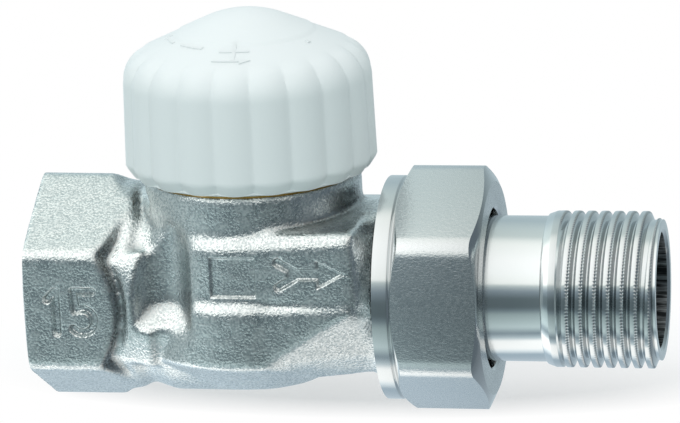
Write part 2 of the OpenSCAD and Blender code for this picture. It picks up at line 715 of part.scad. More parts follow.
// Tailpiece: cone nose, collar behind the nut's end wall, shank, thread and key lugs
module tailpiece() {
    bore_r = tail_bore / 2;
    shank_r = shank_d / 2;
    thread_r = tail_thread_d / 2;
    nose_r = water_bore / 2;
    lug_x = nose_x + 4;
    color([0.72, 0.73, 0.74]) {
        difference() {
            about_x([[0, nose_x + seal_gap * 2], [nose_r, nose_x + seal_gap * 2],
                [nose_r + nose_cone, outlet_x + seal_gap * 2], [tail_collar_r, outlet_x + 0.3],
                [tail_collar_r, nut_shoulder_x - seal_gap], [shank_r, nut_shoulder_x - seal_gap],
                [shank_r, tail_thread_x - 2.1], [thread_r, tail_thread_x], [thread_r, tail_end_x - 1.0],
                [thread_r - 1.0, tail_end_x], [0, tail_end_x]]);
            about_x([[0, nose_x - e], [bore_r, nose_x - e], [bore_r, tail_end_x - 0.4],
                [bore_r + 0.4 + e, tail_end_x + e], [0, tail_end_x + e]]);
        }
        intersection() {
            for (side = [-1, 1])
                translate([lug_x, side * bore_r - 1.25, -1.25]) cube([10, 2.5, 2.5]);
            difference() {
                hole_x(bore_r + 0.3, lug_x, lug_x + 10);
                hole_x(bore_r - key_lug_h, lug_x - e, lug_x + 10 + e);
            }
        }
    }
}

valve_body();
insert_body();
insert_o_ring();
guide_bush();
stem_o_ring();
return_spring();
gland_nut();
gland_o_ring();
pin_o_ring();
pin_washer();
pressure_pin();
stem();
spring_collar();
stem_circlip();
disc_holder();
seat_washer();
clamp_washer();
clamp_nut();
screw_cap();
union_nut();
tailpiece();
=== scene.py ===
import math

import bmesh
import bpy
import numpy as np
from mathutils import Matrix, Vector


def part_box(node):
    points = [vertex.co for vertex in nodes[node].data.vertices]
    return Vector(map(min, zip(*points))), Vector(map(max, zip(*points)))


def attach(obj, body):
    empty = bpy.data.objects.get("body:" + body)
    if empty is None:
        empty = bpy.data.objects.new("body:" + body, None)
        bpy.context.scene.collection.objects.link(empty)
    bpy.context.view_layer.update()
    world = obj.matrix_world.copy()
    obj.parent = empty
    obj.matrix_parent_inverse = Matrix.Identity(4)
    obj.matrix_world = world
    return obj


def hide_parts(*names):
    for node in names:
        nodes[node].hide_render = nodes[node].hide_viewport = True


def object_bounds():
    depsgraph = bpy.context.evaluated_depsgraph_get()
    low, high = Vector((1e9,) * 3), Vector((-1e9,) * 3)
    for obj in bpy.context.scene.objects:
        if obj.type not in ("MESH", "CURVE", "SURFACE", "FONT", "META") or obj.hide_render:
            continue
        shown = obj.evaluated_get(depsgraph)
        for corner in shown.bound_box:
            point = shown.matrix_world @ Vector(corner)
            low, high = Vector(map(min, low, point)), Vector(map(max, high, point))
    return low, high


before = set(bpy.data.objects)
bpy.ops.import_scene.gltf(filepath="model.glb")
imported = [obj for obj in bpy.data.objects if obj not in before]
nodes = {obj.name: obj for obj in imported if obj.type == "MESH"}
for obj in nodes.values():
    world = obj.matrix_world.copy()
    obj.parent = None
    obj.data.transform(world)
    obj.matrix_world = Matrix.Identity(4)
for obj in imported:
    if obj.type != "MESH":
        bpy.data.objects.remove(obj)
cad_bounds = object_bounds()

mm = 0.001

# Camera: a long lens, a little above the valve and round towards its outlet, held slightly
# out of level.
azimuth = math.radians(11.58)
elevation = math.radians(15.17)
roll = math.radians(2.61)
distance = 543.8 * mm
aim = Vector((40.98, 0, 10.45)) * mm

back = Vector((math.sin(azimuth) * math.cos(elevation), -math.cos(azimuth) * math.cos(elevation),
    math.sin(elevation)))
right = Vector((math.cos(azimuth), math.sin(azimuth), 0))
up = back.cross(right)
rolled_right = right * math.cos(roll) - up * math.sin(roll)
rolled_up = right * math.sin(roll) + up * math.cos(roll)
camera_data = bpy.data.cameras.new("camera")
camera_data.lens = 214.36
camera_data.sensor_width = 36
camera_data.clip_start = 10 * mm
camera = bpy.data.objects.new("camera", camera_data)
camera.matrix_world = Matrix.Translation(aim + back * distance) @ Matrix(
    (rolled_right, rolled_up, back)).transposed().to_4x4()
bpy.context.scene.collection.objects.link(camera)
bpy.context.scene.camera = camera
bpy.context.scene.view_settings.view_transform = "Standard"


# Studio: a soft sky that is brighter overhead, a small pale floor that ends just in front of the
# valve, and a light tent that only metal sees: white above the front, dark low in front, cool
# grey behind, and darker towards the outlet end.
def linear(colour):
    """A '#RRGGBB' colour as linear red, green, blue and alpha."""
    channels = [int(colour[i:i + 2], 16) / 255 for i in (1, 3, 5)]
    return [c / 12.92 if c <= 0.04045 else ((c + 0.055) / 1.055) ** 2.4 for c in channels] + [1]


def add(tree, kind, links=None, **settings):
    """Adds a node. links gives each input, by name or number, a value or another node's output."""
    node = tree.nodes.new(kind)
    for name, value in settings.items():
        setattr(node, name, value)
    for key, value in (links or {}).items():
        if isinstance(value, bpy.types.NodeSocket):
            tree.links.new(value, node.inputs[key])
        else:
            node.inputs[key].default_value = value
    return node


def fresh_tree(owner):
    """Turns nodes on for a material or world, and empties its tree."""
    owner.use_nodes = True
    owner.node_tree.nodes.clear()
    return owner.node_tree


def seen_directly(tree):
    """1 for camera, glossy and transmission rays, so that metal shows the backdrop as the lens does."""
    path = add(tree, "ShaderNodeLightPath")
    either = add(tree, "ShaderNodeMath", {0: path.outputs["Is Camera Ray"],
        1: path.outputs["Is Glossy Ray"]}, operation="MAXIMUM")
    return add(tree, "ShaderNodeMath", {0: either.outputs[0],
        1: path.outputs["Is Transmission Ray"]}, operation="MAXIMUM").outputs[0]


sky = bpy.data.worlds.new("soft_sky")
tree = fresh_tree(sky)
direction = add(tree, "ShaderNodeTexCoord")
height = add(tree, "ShaderNodeSeparateXYZ", {0: direction.outputs["Generated"]})
level = add(tree, "ShaderNodeMapRange", {"Value": height.outputs["Z"], "From Min": -0.2,
    "From Max": 1.0, "To Min": 0.60, "To Max": 1.0})
rise = add(tree, "ShaderNodeMapRange", {"Value": height.outputs["Z"], "From Min": -0.2,
    "From Max": 0.7})
tint = add(tree, "ShaderNodeMix", {"Factor": rise.outputs[0], 6: linear("#DDF1F2"),
    7: linear("#F9FBFC")}, data_type="RGBA")
soft = add(tree, "ShaderNodeBackground", {"Color": tint.outputs[2],
    "Strength": level.outputs["Result"]})
white = add(tree, "ShaderNodeBackground", {"Color": (1, 1, 1, 1), "Strength": 1})
both = add(tree, "ShaderNodeMixShader", {0: seen_directly(tree), 1: soft.outputs[0],
    2: white.outputs[0]})
add(tree, "ShaderNodeOutputWorld", {"Surface": both.outputs[0]})
bpy.context.scene.world = sky

lamp_data = bpy.data.lights.new("softbox", "AREA")
lamp_data.shape = "DISK"
lamp_data.size = 500 * mm
lamp_data.energy = 1.7
lamp = bpy.data.objects.new("softbox", lamp_data)
lamp.visible_glossy = False
lamp_place = aim + Vector((-0.25, -0.45, 0.62))
lamp.matrix_world = Matrix.Translation(lamp_place) @ (
    (lamp_place - aim).to_track_quat("Z", "Y").to_matrix().to_4x4())
bpy.context.scene.collection.objects.link(lamp)

floor_z = cad_bounds[0][2] - 0.02 * mm
floor_mesh = bpy.data.meshes.new("floor")
shape = bmesh.new()
bmesh.ops.create_circle(shape, cap_ends=True, radius=1, segments=128,
    matrix=Matrix.Translation((42 * mm, 25 * mm, floor_z)) @ Matrix.Diagonal(
        (66 * mm, 31 * mm, 1, 1)))
shape.to_mesh(floor_mesh)
shape.free()
floor = bpy.data.objects.new("floor", floor_mesh)
floor.visible_glossy = False
bpy.context.scene.collection.objects.link(floor)
paper = bpy.data.materials.new("matt_white_paper")
tree = fresh_tree(paper)
lit = add(tree, "ShaderNodeBsdfDiffuse", {"Color": linear("#E6E8E9")})
faint = add(tree, "ShaderNodeBsdfDiffuse", {"Color": (0.5, 0.5, 0.5, 1)})
lift = add(tree, "ShaderNodeEmission", {"Color": (1, 1, 1, 1), "Strength": 0.5})
near = add(tree, "ShaderNodeAddShader", {0: faint.outputs[0], 1: lift.outputs[0]})
rim = add(tree, "ShaderNodeEmission", {"Color": (1, 1, 1, 1), "Strength": 1})
spot = add(tree, "ShaderNodeMapping", {"Vector": add(tree, "ShaderNodeTexCoord").outputs["Object"],
    "Location": (-42 / 66, -25 / 31, 0), "Scale": (1 / (66 * mm), 1 / (31 * mm), 0)})
reach = add(tree, "ShaderNodeVectorMath", {0: spot.outputs[0]}, operation="LENGTH")
fade = add(tree, "ShaderNodeMapRange", {"Value": reach.outputs["Value"], "From Min": 0.72,
    "From Max": 0.98})
backdrop = add(tree, "ShaderNodeMixShader", {0: fade.outputs[0], 1: near.outputs[0],
    2: rim.outputs[0]})
either = add(tree, "ShaderNodeMixShader", {0: seen_directly(tree), 1: lit.outputs[0],
    2: backdrop.outputs[0]})
add(tree, "ShaderNodeOutputMaterial", {"Surface": either.outputs[0]})
floor.data.materials.append(paper)

tent_radius = 1.6
tent_half_length = 2.0
tent_mesh = bpy.data.meshes.new("light_tent")
shape = bmesh.new()
bmesh.ops.create_cone(shape, cap_ends=True, segments=96, radius1=tent_radius, radius2=tent_radius,
    depth=2 * tent_half_length, matrix=Matrix.Rotation(math.radians(90), 4, "Y"))
shape.to_mesh(tent_mesh)
shape.free()
tent = bpy.data.objects.new("light_tent", tent_mesh)
tent.visible_camera = False
tent.visible_diffuse = False
tent.visible_shadow = False
tent.visible_transmission = False
bpy.context.scene.collection.objects.link(tent)
cloth = bpy.data.materials.new("tent_cloth")
tree = fresh_tree(cloth)
place = add(tree, "ShaderNodeTexCoord").outputs["Object"]
parts = add(tree, "ShaderNodeSeparateXYZ", {0: place})
ahead = add(tree, "ShaderNodeMath", {0: parts.outputs["Y"], 1: -1.0}, operation="MULTIPLY")
angle = add(tree, "ShaderNodeMath", {0: parts.outputs["Z"], 1: ahead.outputs[0]},
    operation="ARCTAN2")
share = add(tree, "ShaderNodeMapRange", {"Value": angle.outputs[0], "From Min": -math.pi,
    "From Max": math.pi})
# the cloth's shade at each angle about the flow axis: 0 is level in front, 90 is overhead
white, pale, silver, haze, slate = "#FAFBF9", "#EEF1ED", "#B8C5C5", "#A3B3B8", "#535F63"
shades = {-180: haze, -140: "#A6B3BC", -112: "#9AABB6", -101: "#E0E9EC", -95: white, -76: white,
    -70: "#B5C3C8", -60: "#78878F", -48: "#B4C4C5", -26: "#8E9E9F", -19: "#66747A", -14: slate,
    0: "#566266", 12: "#7A878F", 21: "#B4BFBE", 22: pale, 40: "#F7F9F7", 60: white, 90: pale,
    97: "#E2E7E3", 106: "#BFCAC8", 125: silver, 150: haze, 179: haze}
ramp = add(tree, "ShaderNodeValToRGB", {0: share.outputs[0]})
bands = ramp.color_ramp.elements
bands.remove(bands[1])
for number, (degrees, shade) in enumerate(shades.items()):
    band = bands[0] if number == 0 else bands.new(degrees / 360 + 0.5)
    band.color = linear(shade)
towards_outlet = add(tree, "ShaderNodeMapRange", {"Value": parts.outputs["X"], "From Min": -1.5,
    "From Max": 1.6, "To Min": 2.12, "To Max": 0.55})
outlet_wall = add(tree, "ShaderNodeMapRange", {"Value": parts.outputs["X"], "From Min": 1.85,
    "From Max": 1.99})
inlet_wall = add(tree, "ShaderNodeMapRange", {"Value": parts.outputs["X"], "From Min": -1.9,
    "From Max": -1.99})
walled = add(tree, "ShaderNodeMix", {"Factor": outlet_wall.outputs[0], 6: ramp.outputs[0],
    7: linear("#8C9BA5")}, data_type="RGBA")
shade = add(tree, "ShaderNodeMix", {"Factor": inlet_wall.outputs[0], 6: walled.outputs[2],
    7: linear("#7C8789")}, data_type="RGBA")
glow = add(tree, "ShaderNodeEmission", {"Color": shade.outputs[2],
    "Strength": towards_outlet.outputs[0]})
add(tree, "ShaderNodeOutputMaterial", {"Surface": glow.outputs[0]})
tent_mesh.materials.append(cloth)


# Valve body: one brass casting, shot-blasted and nickel-plated, with the inlet hexagon, the bowl
# under the seat and the neck. Its inlet face, bores, neck top and union end are machined after
# casting, so they are crisp where the rest is soft and sparkles.
def piece(name, mesh, materials=()):
    """A new object at the origin that shows a mesh."""
    made = bpy.data.objects.new(name, mesh)
    for material in materials:
        made.data.materials.append(material)
    bpy.context.scene.collection.objects.link(made)
    return made


def settled(made):
    """Turns what the modifiers make into the object's own plain mesh, and removes them."""
    graph = bpy.context.evaluated_depsgraph_get()
    result = bpy.data.meshes.new_from_object(made.evaluated_get(graph), depsgraph=graph)
    made.modifiers.clear()
    made.data = result
    return made


def welded_copy(node):
    """A CAD node's mesh with its loose triangles joined."""
    shape = bmesh.new()
    shape.from_mesh(nodes[node].data)
    bmesh.ops.remove_doubles(shape, verts=shape.verts, dist=0.001 * mm)
    mesh = bpy.data.meshes.new(node)
    shape.to_mesh(mesh)
    shape.free()
    return mesh


def turned(name, profile, axis, centre=0.0, steps=192):
    """A closed solid from (radius, place) corners turned about the flow or the stem axis. A radius
    may be a function of the angle, which runs from upright to the front, or from the outlet."""
    ring = np.linspace(0, 2 * math.pi, steps, endpoint=False)
    shape = bmesh.new()
    rings = []
    for radius, place in profile:
        radii = [radius(a) if callable(radius) else radius for a in ring]
        if axis == "flow":
            points = [(place, -r * math.sin(a), r * math.cos(a)) for a, r in zip(ring, radii)]
        else:
            points = [(centre + r * math.cos(a), r * math.sin(a), place) for a, r in zip(ring, radii)]
        rings.append([shape.verts.new(p) for p in points])
    for first, second in zip(rings, rings[1:] + rings[:1]):
        for i in range(steps):
            k = (i + 1) % steps
            shape.faces.new((first[i], first[k], second[k], second[i]))
    bmesh.ops.remove_doubles(shape, verts=shape.verts, dist=0.0001 * mm)
    flat = [f for f in shape.faces if f.calc_area() < 1e-14]
    bmesh.ops.delete(shape, geom=flat, context="FACES_ONLY")
    bmesh.ops.recalc_face_normals(shape, faces=shape.faces)
    mesh = bpy.data.meshes.new(name)
    shape.to_mesh(mesh)
    shape.free()
    return mesh


def softened(profile, size):
    """Breaks each corner of a profile by a small three-point round."""
    out = []
    for i, corner in enumerate(profile):
        here = np.array(corner)
        before, after = np.array(profile[i - 1]), np.array(profile[(i + 1) % len(profile)])
        if min(corner[0], before[0], after[0]) <= 0:
            out.append(tuple(here))
            continue
        a, b = before - here, after - here
        reach = min(size, np.linalg.norm(a) / 2.5, np.linalg.norm(b) / 2.5)
        start = here + a / np.linalg.norm(a) * reach
        stop = here + b / np.linalg.norm(b) * reach
        out += [tuple(start), tuple(here * 0.6 + (start + stop) * 0.2), tuple(stop)]
    return out


def shaded(made, angle=32):
    """Smooth shading, with edges sharper than an angle kept."""
    made.data.shade_smooth()
    made.data.set_sharp_from_angle(angle=math.radians(angle))
    return made


def joined(name, *parts):
    """Joins objects into the first one, and names it."""
    with bpy.context.temp_override(active_object=parts[0], selected_editable_objects=list(parts)):
        bpy.ops.object.join()
    parts[0].name = name
    return parts[0]


def metal(name, colour, roughness):
    """A metal's tree, its shader and its object coordinates, to build a finish on."""
    material = bpy.data.materials.new(name)
    tree = fresh_tree(material)
    shader = add(tree, "ShaderNodeBsdfPrincipled", {"Base Color": linear(colour), "Metallic": 1.0,
        "Roughness": roughness})
    add(tree, "ShaderNodeOutputMaterial", {"Surface": shader.outputs[0]})
    place = add(tree, "ShaderNodeTexCoord").outputs["Object"]
    return material, tree, shader, place


def blasted_nickel():
    """Nickel plate on a shot-blasted casting: dimples about 0.3 mm across, whose slopes throw
    back light and dark by turns, and whose bottoms are duller. Recesses and the groove behind
    the hexagon get painted shade: the stored mask darkens their colour."""
    material, tree, shader, place = metal("blasted_cast_nickel_painted_shade", "#DADDDD", 0.28)
    grit = 0.30 * mm
    pits = add(tree, "ShaderNodeTexNoise", {"Vector": place, "Scale": 1 / grit, "Detail": 1.5,
        "Roughness": 0.55})
    swell = add(tree, "ShaderNodeTexNoise", {"Vector": place, "Scale": 1 / (1.9 * mm), "Detail": 2.0})
    fine = add(tree, "ShaderNodeBump", {"Strength": 1.0, "Distance": 0.085 * mm,
        "Height": pits.outputs[0]})
    broad = add(tree, "ShaderNodeBump", {"Strength": 1.0, "Distance": 0.045 * mm,
        "Height": swell.outputs[0], "Normal": fine.outputs[0]})
    tree.links.new(broad.outputs[0], shader.inputs["Normal"])
    dull = add(tree, "ShaderNodeMapRange", {"Value": pits.outputs[0], "From Min": 0.38,
        "From Max": 0.60})
    tone = add(tree, "ShaderNodeMix", {"Factor": dull.outputs[0], 6: linear("#BBC2C3"),
        7: linear("#E4E7E6")}, data_type="RGBA")
    # painted shade: where the stored mask is high, the colour goes towards #3E4243, broken up by the pits
    painted_hollow_shade = add(tree, "ShaderNodeAttribute", attribute_name="painted_hollow_shade")
    bottoms = add(tree, "ShaderNodeMapRange", {"Value": pits.outputs[0], "From Min": 0.42,
        "From Max": 0.56, "To Min": 0.30, "To Max": 1.0})
    painted_shade_share = add(tree, "ShaderNodeMath", {0: painted_hollow_shade.outputs["Fac"], 1: bottoms.outputs[0]},
        operation="MULTIPLY", use_clamp=True)
    painted_shade_tone = add(tree, "ShaderNodeMix", {"Factor": painted_shade_share.outputs[0], 6: tone.outputs[2],
        7: linear("#3E4243")}, data_type="RGBA")
    tree.links.new(painted_shade_tone.outputs[2], shader.inputs["Base Color"])
    spread = add(tree, "ShaderNodeMapRange", {"Value": swell.outputs[0], "From Min": 0.3,
        "From Max": 0.7, "To Min": 0.20, "To Max": 0.32})
    tree.links.new(spread.outputs[0], shader.inputs["Roughness"])
    return material


def lathe_nickel(name, smooth, dull):
    """Nickel plate over turned brass: satin, with rings about the flow axis 0.16 mm apart that
    the turning tool left, too fine to see singly."""
    material, tree, shader, place = metal(name, "#D2D5D6", dull)
    feed = 0.16 * mm
    rings = add(tree, "ShaderNodeMapping", {"Vector": place, "Scale": (1 / feed, 20, 20)})
    marks = add(tree, "ShaderNodeTexNoise", {"Vector": rings.outputs[0], "Scale": 1.0,
        "Detail": 2.0})
    bump = add(tree, "ShaderNodeBump", {"Strength": 1.0, "Distance": 0.004 * mm,
        "Height": marks.outputs[0]})
    tree.links.new(bump.outputs[0], shader.inputs["Normal"])
    cloud = add(tree, "ShaderNodeTexNoise", {"Vector": place, "Scale": 1 / (3.5 * mm),
        "Detail": 3.0})
    spread = add(tree, "ShaderNodeMapRange", {"Value": cloud.outputs[0], "From Min": 0.3,
        "From Max": 0.7, "To Min": smooth, "To Max": dull})
    tree.links.new(spread.outputs[0], shader.inputs["Roughness"])
    return material


cast_nickel = blasted_nickel()
turned_nickel = lathe_nickel("turned_satin_nickel", 0.10, 0.16)

stem_low, stem_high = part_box("stem")
stem_x = (stem_low.x + stem_high.x) / 2
body_low, body_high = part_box("valve_body")
neck_shoulder_z = 16.0 * mm
union_relief_x = 47.4 * mm
inlet_thread_end = 13.7 * mm


# Geometry nodes that soften a rough-meshed casting and give its skin a slow unevenness.
def new_tree(name, inputs):
    """A geometry tree with named inputs. Gives the tree, its input node and its output node."""
    tree = bpy.data.node_groups.new(name, "GeometryNodeTree")
    tree.interface.new_socket("Geometry", in_out="INPUT", socket_type="NodeSocketGeometry")
    for label, kind in inputs.items():
        tree.interface.new_socket(label, in_out="INPUT", socket_type="NodeSocket" + kind)
    tree.interface.new_socket("Geometry", in_out="OUTPUT", socket_type="NodeSocketGeometry")
    return tree, tree.nodes.new("NodeGroupInput"), tree.nodes.new("NodeGroupOutput")


def grown(made, tree, values):
    """Runs a geometry tree on an object with these input values, and keeps the plain result."""
    modifier = made.modifiers.new(tree.name, "NODES")
    modifier.node_group = tree
    for item in tree.interface.items_tree:
        if item.in_out == "INPUT" and item.name in values:
            modifier[item.identifier] = values[item.name]
    made.update_tag()
    return settled(made)


def casting_tree():
    """Blurs the mesh's corners into casting radii, less on the hexagon and not at the inlet's
    end, moves the skin by a slow noise, and stores a mask for painted shade: how deep each
    recess is, and a band in the groove behind the hexagon on faces turned to the outlet."""
    tree, given, out = new_tree("casting_skin", {"Softening": "Int", "Unevenness": "Float",
        "Wave": "Float", "Crisp end": "Float", "Soft from": "Float", "Finish": "Material"})
    place = add(tree, "GeometryNodeInputPosition")
    parts = add(tree, "ShaderNodeSeparateXYZ", {0: place.outputs[0]})
    weight = add(tree, "ShaderNodeMapRange", {"Value": parts.outputs["X"],
        "From Min": given.outputs["Crisp end"], "From Max": given.outputs["Soft from"]})
    soft = add(tree, "GeometryNodeBlurAttribute", {"Value": place.outputs[0],
        "Iterations": given.outputs["Softening"], "Weight": weight.outputs[0]},
        data_type="FLOAT_VECTOR")
    eased = add(tree, "GeometryNodeSetPosition", {"Geometry": given.outputs["Geometry"],
        "Position": soft.outputs["Value"]})
    per_metre = add(tree, "ShaderNodeMath", {0: 1.0, 1: given.outputs["Wave"]}, operation="DIVIDE")
    noise = add(tree, "ShaderNodeTexNoise", {"Vector": place.outputs[0],
        "Scale": per_metre.outputs[0], "Detail": 2.0})
    centred = add(tree, "ShaderNodeMath", {0: noise.outputs[0], 1: 0.5}, operation="SUBTRACT")
    amount = add(tree, "ShaderNodeMath", {0: centred.outputs[0],
        1: given.outputs["Unevenness"]}, operation="MULTIPLY")
    normal = add(tree, "GeometryNodeInputNormal")
    offset = add(tree, "ShaderNodeVectorMath", {0: normal.outputs[0],
        "Scale": amount.outputs[0]}, operation="SCALE")
    moved = add(tree, "GeometryNodeSetPosition", {"Geometry": eased.outputs[0],
        "Offset": offset.outputs[0]})
    # painted shade in recesses: how far the blurred surface lies inward of each point, along its normal
    here = add(tree, "GeometryNodeInputPosition")
    filled = add(tree, "GeometryNodeBlurAttribute", {"Value": here.outputs[0], "Iterations": 24},
        data_type="FLOAT_VECTOR")
    pulled = add(tree, "ShaderNodeVectorMath", {0: filled.outputs["Value"], 1: here.outputs[0]},
        operation="SUBTRACT")
    painted_hollow_shade = add(tree, "ShaderNodeVectorMath", {0: pulled.outputs[0], 1: normal.outputs[0]},
        operation="DOT_PRODUCT")
    share = add(tree, "ShaderNodeMapRange", {"Value": painted_hollow_shade.outputs["Value"],
        "From Min": 0.08 * mm, "From Max": 0.40 * mm})
    # painted shade: a band in the groove behind the hexagon, on faces turned towards the outlet, set by
    # position
    facing = add(tree, "ShaderNodeSeparateXYZ", {0: normal.outputs[0]})
    outlet_facing_shade = add(tree, "ShaderNodeMapRange", {"Value": facing.outputs["X"], "From Min": 0.25,
        "From Max": 0.8, "To Max": 0.85})
    behind = add(tree, "ShaderNodeMapRange", {"Value": parts.outputs["X"], "From Min": 13.8 * mm,
        "From Max": 13.0 * mm})
    below = add(tree, "ShaderNodeMapRange", {"Value": parts.outputs["Z"], "From Min": 13.0 * mm,
        "From Max": 9.5 * mm})
    above = add(tree, "ShaderNodeMapRange", {"Value": parts.outputs["Z"], "From Min": -10.5 * mm,
        "From Max": -7.5 * mm})
    level = add(tree, "ShaderNodeMath", {0: below.outputs[0], 1: above.outputs[0]},
        operation="MULTIPLY")
    groove = add(tree, "ShaderNodeMath", {0: level.outputs[0], 1: behind.outputs[0]},
        operation="MULTIPLY")
    painted_groove_shade = add(tree, "ShaderNodeMath", {0: outlet_facing_shade.outputs[0], 1: groove.outputs[0]},
        operation="MULTIPLY")
    either = add(tree, "ShaderNodeMath", {0: share.outputs[0], 1: painted_groove_shade.outputs[0]},
        operation="MAXIMUM")
    # the painted-shade mask is kept on the points, and the finish darkens its colour by it
    kept = add(tree, "GeometryNodeStoreNamedAttribute", {"Geometry": moved.outputs[0],
        "Name": "painted_hollow_shade", "Value": either.outputs[0]}, data_type="FLOAT", domain="POINT")
    real = add(tree, "GeometryNodeRealizeInstances", {"Geometry": kept.outputs[0]})
    named = add(tree, "GeometryNodeSetMaterial", {"Geometry": real.outputs[0],
        "Material": given.outputs["Finish"]})
    tree.links.new(named.outputs[0], out.inputs[0])
    return tree


def combined(made, operation, mesh):
    """Adds or cuts a solid by a boolean. Its faces bring their own finish along."""
    other = piece("tool", mesh, [turned_nickel])
    step = made.modifiers.new(operation.lower(), "BOOLEAN")
    step.operation = operation
    step.solver = "MANIFOLD"
    step.material_mode = "TRANSFER"
    step.object = other
    settled(made)
    bpy.data.objects.remove(other)


def prism(name, corners, along):
    """A flat outline pushed straight along to a solid, in millimetres."""
    shape = bmesh.new()
    rows = [[shape.verts.new((Vector(c) + Vector(shift)) * mm) for c in corners]
        for shift in ((0, 0, 0), along)]
    for i in range(len(corners)):
        k = (i + 1) % len(corners)
        shape.faces.new((rows[0][i], rows[0][k], rows[1][k], rows[1][i]))
    shape.faces.new(rows[0])
    shape.faces.new(rows[1][::-1])
    bmesh.ops.recalc_face_normals(shape, faces=shape.faces)
    mesh = bpy.data.meshes.new(name)
    shape.to_mesh(mesh)
    shape.free()
    return mesh


def hull(name, corners):
    """The tightest solid round some corners, in millimetres."""
    shape = bmesh.new()
    for corner in corners:
        shape.verts.new(Vector(corner) * mm)
    bmesh.ops.convex_hull(shape, input=shape.verts)
    bmesh.ops.recalc_face_normals(shape, faces=shape.faces)
    mesh = bpy.data.meshes.new(name)
    shape.to_mesh(mesh)
    shape.free()
    return mesh


def hexagon_radius(limit):
    """The inlet hexagon's radius at an angle, with its corners turned down to a limit."""
    return lambda a: min(limit, facet_radius(a))


def pad_end_radius(a):
    """Outline of the side pads' outlet end about the flow axis: faces, ledges, roof, underside."""
    side, rise = abs(math.sin(a)), math.cos(a)
    limits = [15.2 / max(side, 0.01), 47.4 / max(2.2 * side + 1.5 * rise, 0.01),
        120 / max(0.6 * side + 9.8 * rise, 0.01), 106.4 / max(7.7 * side - 6 * rise, 0.01)]
    return 11.4 * mm if rise < -0.53 else min(limits) * mm


def sides_only(radius, inner):
    """A radius at the front and the back, and an inner one above and below."""
    return lambda a: radius if abs(math.sin(a)) > 0.82 else inner


def facet_radius(a):
    """The inlet hexagon's own radius at an angle."""
    return 13.75 * mm / math.cos((a + math.pi) % (math.pi / 3) - math.pi / 6)


def facet_end(a):
    """Where the hexagon ends behind: its corners are cut back more than its flats."""
    return 12.5 * mm - (facet_radius(a) - 13.75 * mm) * 1.15


def shoulder_at(x, a):
    """Radius of the shoulder that rises from the groove behind the hexagon to the bowl."""
    foot = facet_end(a) + 1.5 * mm
    if x < foot:
        return 13.6 * mm - 2.4 * (foot - x)
    return 13.6 * mm + 1.2 * mm * (x - foot) / (17.4 * mm - foot)


def groove_at(x, a):
    """Radius of the groove: deep at the sides, filled at the die's parting line."""
    floor_radius = (12.6 + 1.7 * abs(math.cos(a)) ** 3) * mm
    back = facet_radius(a) + 2.2 * (facet_end(a) - x)
    return min(17.0 * mm, max(back, floor_radius, shoulder_at(x, a)))


# the forging's finer forms: full corners on the hexagon and a slope behind it, a filled pad end,
# ball-ended scoops, and a back pad whose roof slopes down
casting = piece("cast_body", welded_copy("valve_body"))
combined(casting, "UNION", turned("hexagon_corners", [(11.2 * mm, 0.02 * mm),
    (hexagon_radius(15.55 * mm), 0.02 * mm), (hexagon_radius(15.55 * mm), 12.6 * mm),
    (11.2 * mm, 12.6 * mm)], "flow", steps=240))
combined(casting, "UNION", turned("pad_end", [(10.8 * mm, 44.6 * mm),
    (lambda a: pad_end_radius(a) - 0.2 * mm, 44.6 * mm), (pad_end_radius, 45.2 * mm),
    (lambda a: max(12.3 * mm, min(pad_end_radius(a), 13.1 * mm)), 47.6 * mm),
    (10.8 * mm, 47.6 * mm)], "flow", steps=240))
combined(casting, "UNION", turned("scoop_fill", [(11.0 * mm, 17.8 * mm),
    (sides_only(14.15 * mm, 11.2 * mm), 17.8 * mm), (sides_only(14.15 * mm, 11.2 * mm), 23.6 * mm),
    (11.0 * mm, 23.6 * mm)], "flow", steps=240))
stations = [(9.6 + 0.3 * i) * mm for i in range(27)]
shoulder = [(lambda a, x=x: max(11.2 * mm, shoulder_at(x, a)) if abs(math.sin(a)) > 0.82 else 11.2 * mm, x)
    for x in stations if x > 11.5 * mm]
combined(casting, "UNION", turned("shoulder", [(11.0 * mm, shoulder[0][1])] + shoulder +
    [(11.0 * mm, shoulder[-1][1])], "flow", steps=360))
groove = [(lambda a, x=x: groove_at(x, a), x) for x in stations]
combined(casting, "DIFFERENCE", turned("groove", [(20 * mm, 9.6 * mm)] + groove +
    [(16.0 * mm, 14.6 * mm), (16.6 * mm, 13.0 * mm), (20 * mm, 12.0 * mm)], "flow", steps=360))
scoop_radius = 4.3 * mm
scoop_floor_z = -3.0 * mm
fairing = [(33.0, 16.3, 0.9), (33.0, 14.9, 2.2), (44.8, 15.6, 0.9), (44.8, 14.8, 2.0),
    (33.0, 16.3, -6.4), (47.6, 12.6, -1.0), (47.6, 9.5, -6.5), (47.6, 6.0, -10.0), (38.0, 9.3, -10.2),
    (33.0, 4.0, 2.2), (33.0, 4.0, -6.4), (47.6, 4.0, -1.0), (44.8, 4.0, 2.0), (47.6, 4.0, -10.0),
    (38.0, 4.0, -10.2)]
for side in (-1, 1):
    combined(casting, "UNION", hull("bowl_fairing", [(x, side * y, z) for x, y, z in fairing]))
    combined(casting, "UNION", prism("bowl_fill", [(21.0, side * 13.0, -6), (21.4, side * 14.5, -6),
        (22.7, side * 15.2, -6), (24.3, side * 15.9, -6), (24.3, side * 13.0, -6)], (0, 0, 7.4)))
    scoop = turned("scoop", [(0, -0.3 * mm), (2.6 * mm, -0.15 * mm), (3.7 * mm, 0.1 * mm),
        (scoop_radius, 0.5 * mm), (scoop_radius, 14.7 * mm), (0, 14.7 * mm)], "stem", 0.0, 96)
    # its floor falls to the front, and a little to the inlet
    for vertex in scoop.vertices:
        if vertex.co.z < 1 * mm:
            vertex.co.z += 0.12 * vertex.co.x - side * 0.8 * vertex.co.y
        vertex.co.z += scoop_floor_z
    scoop.transform(Matrix.Translation((stem_x - 10.2 * mm, side * 15.5 * mm, 0)))
    combined(casting, "DIFFERENCE", scoop)
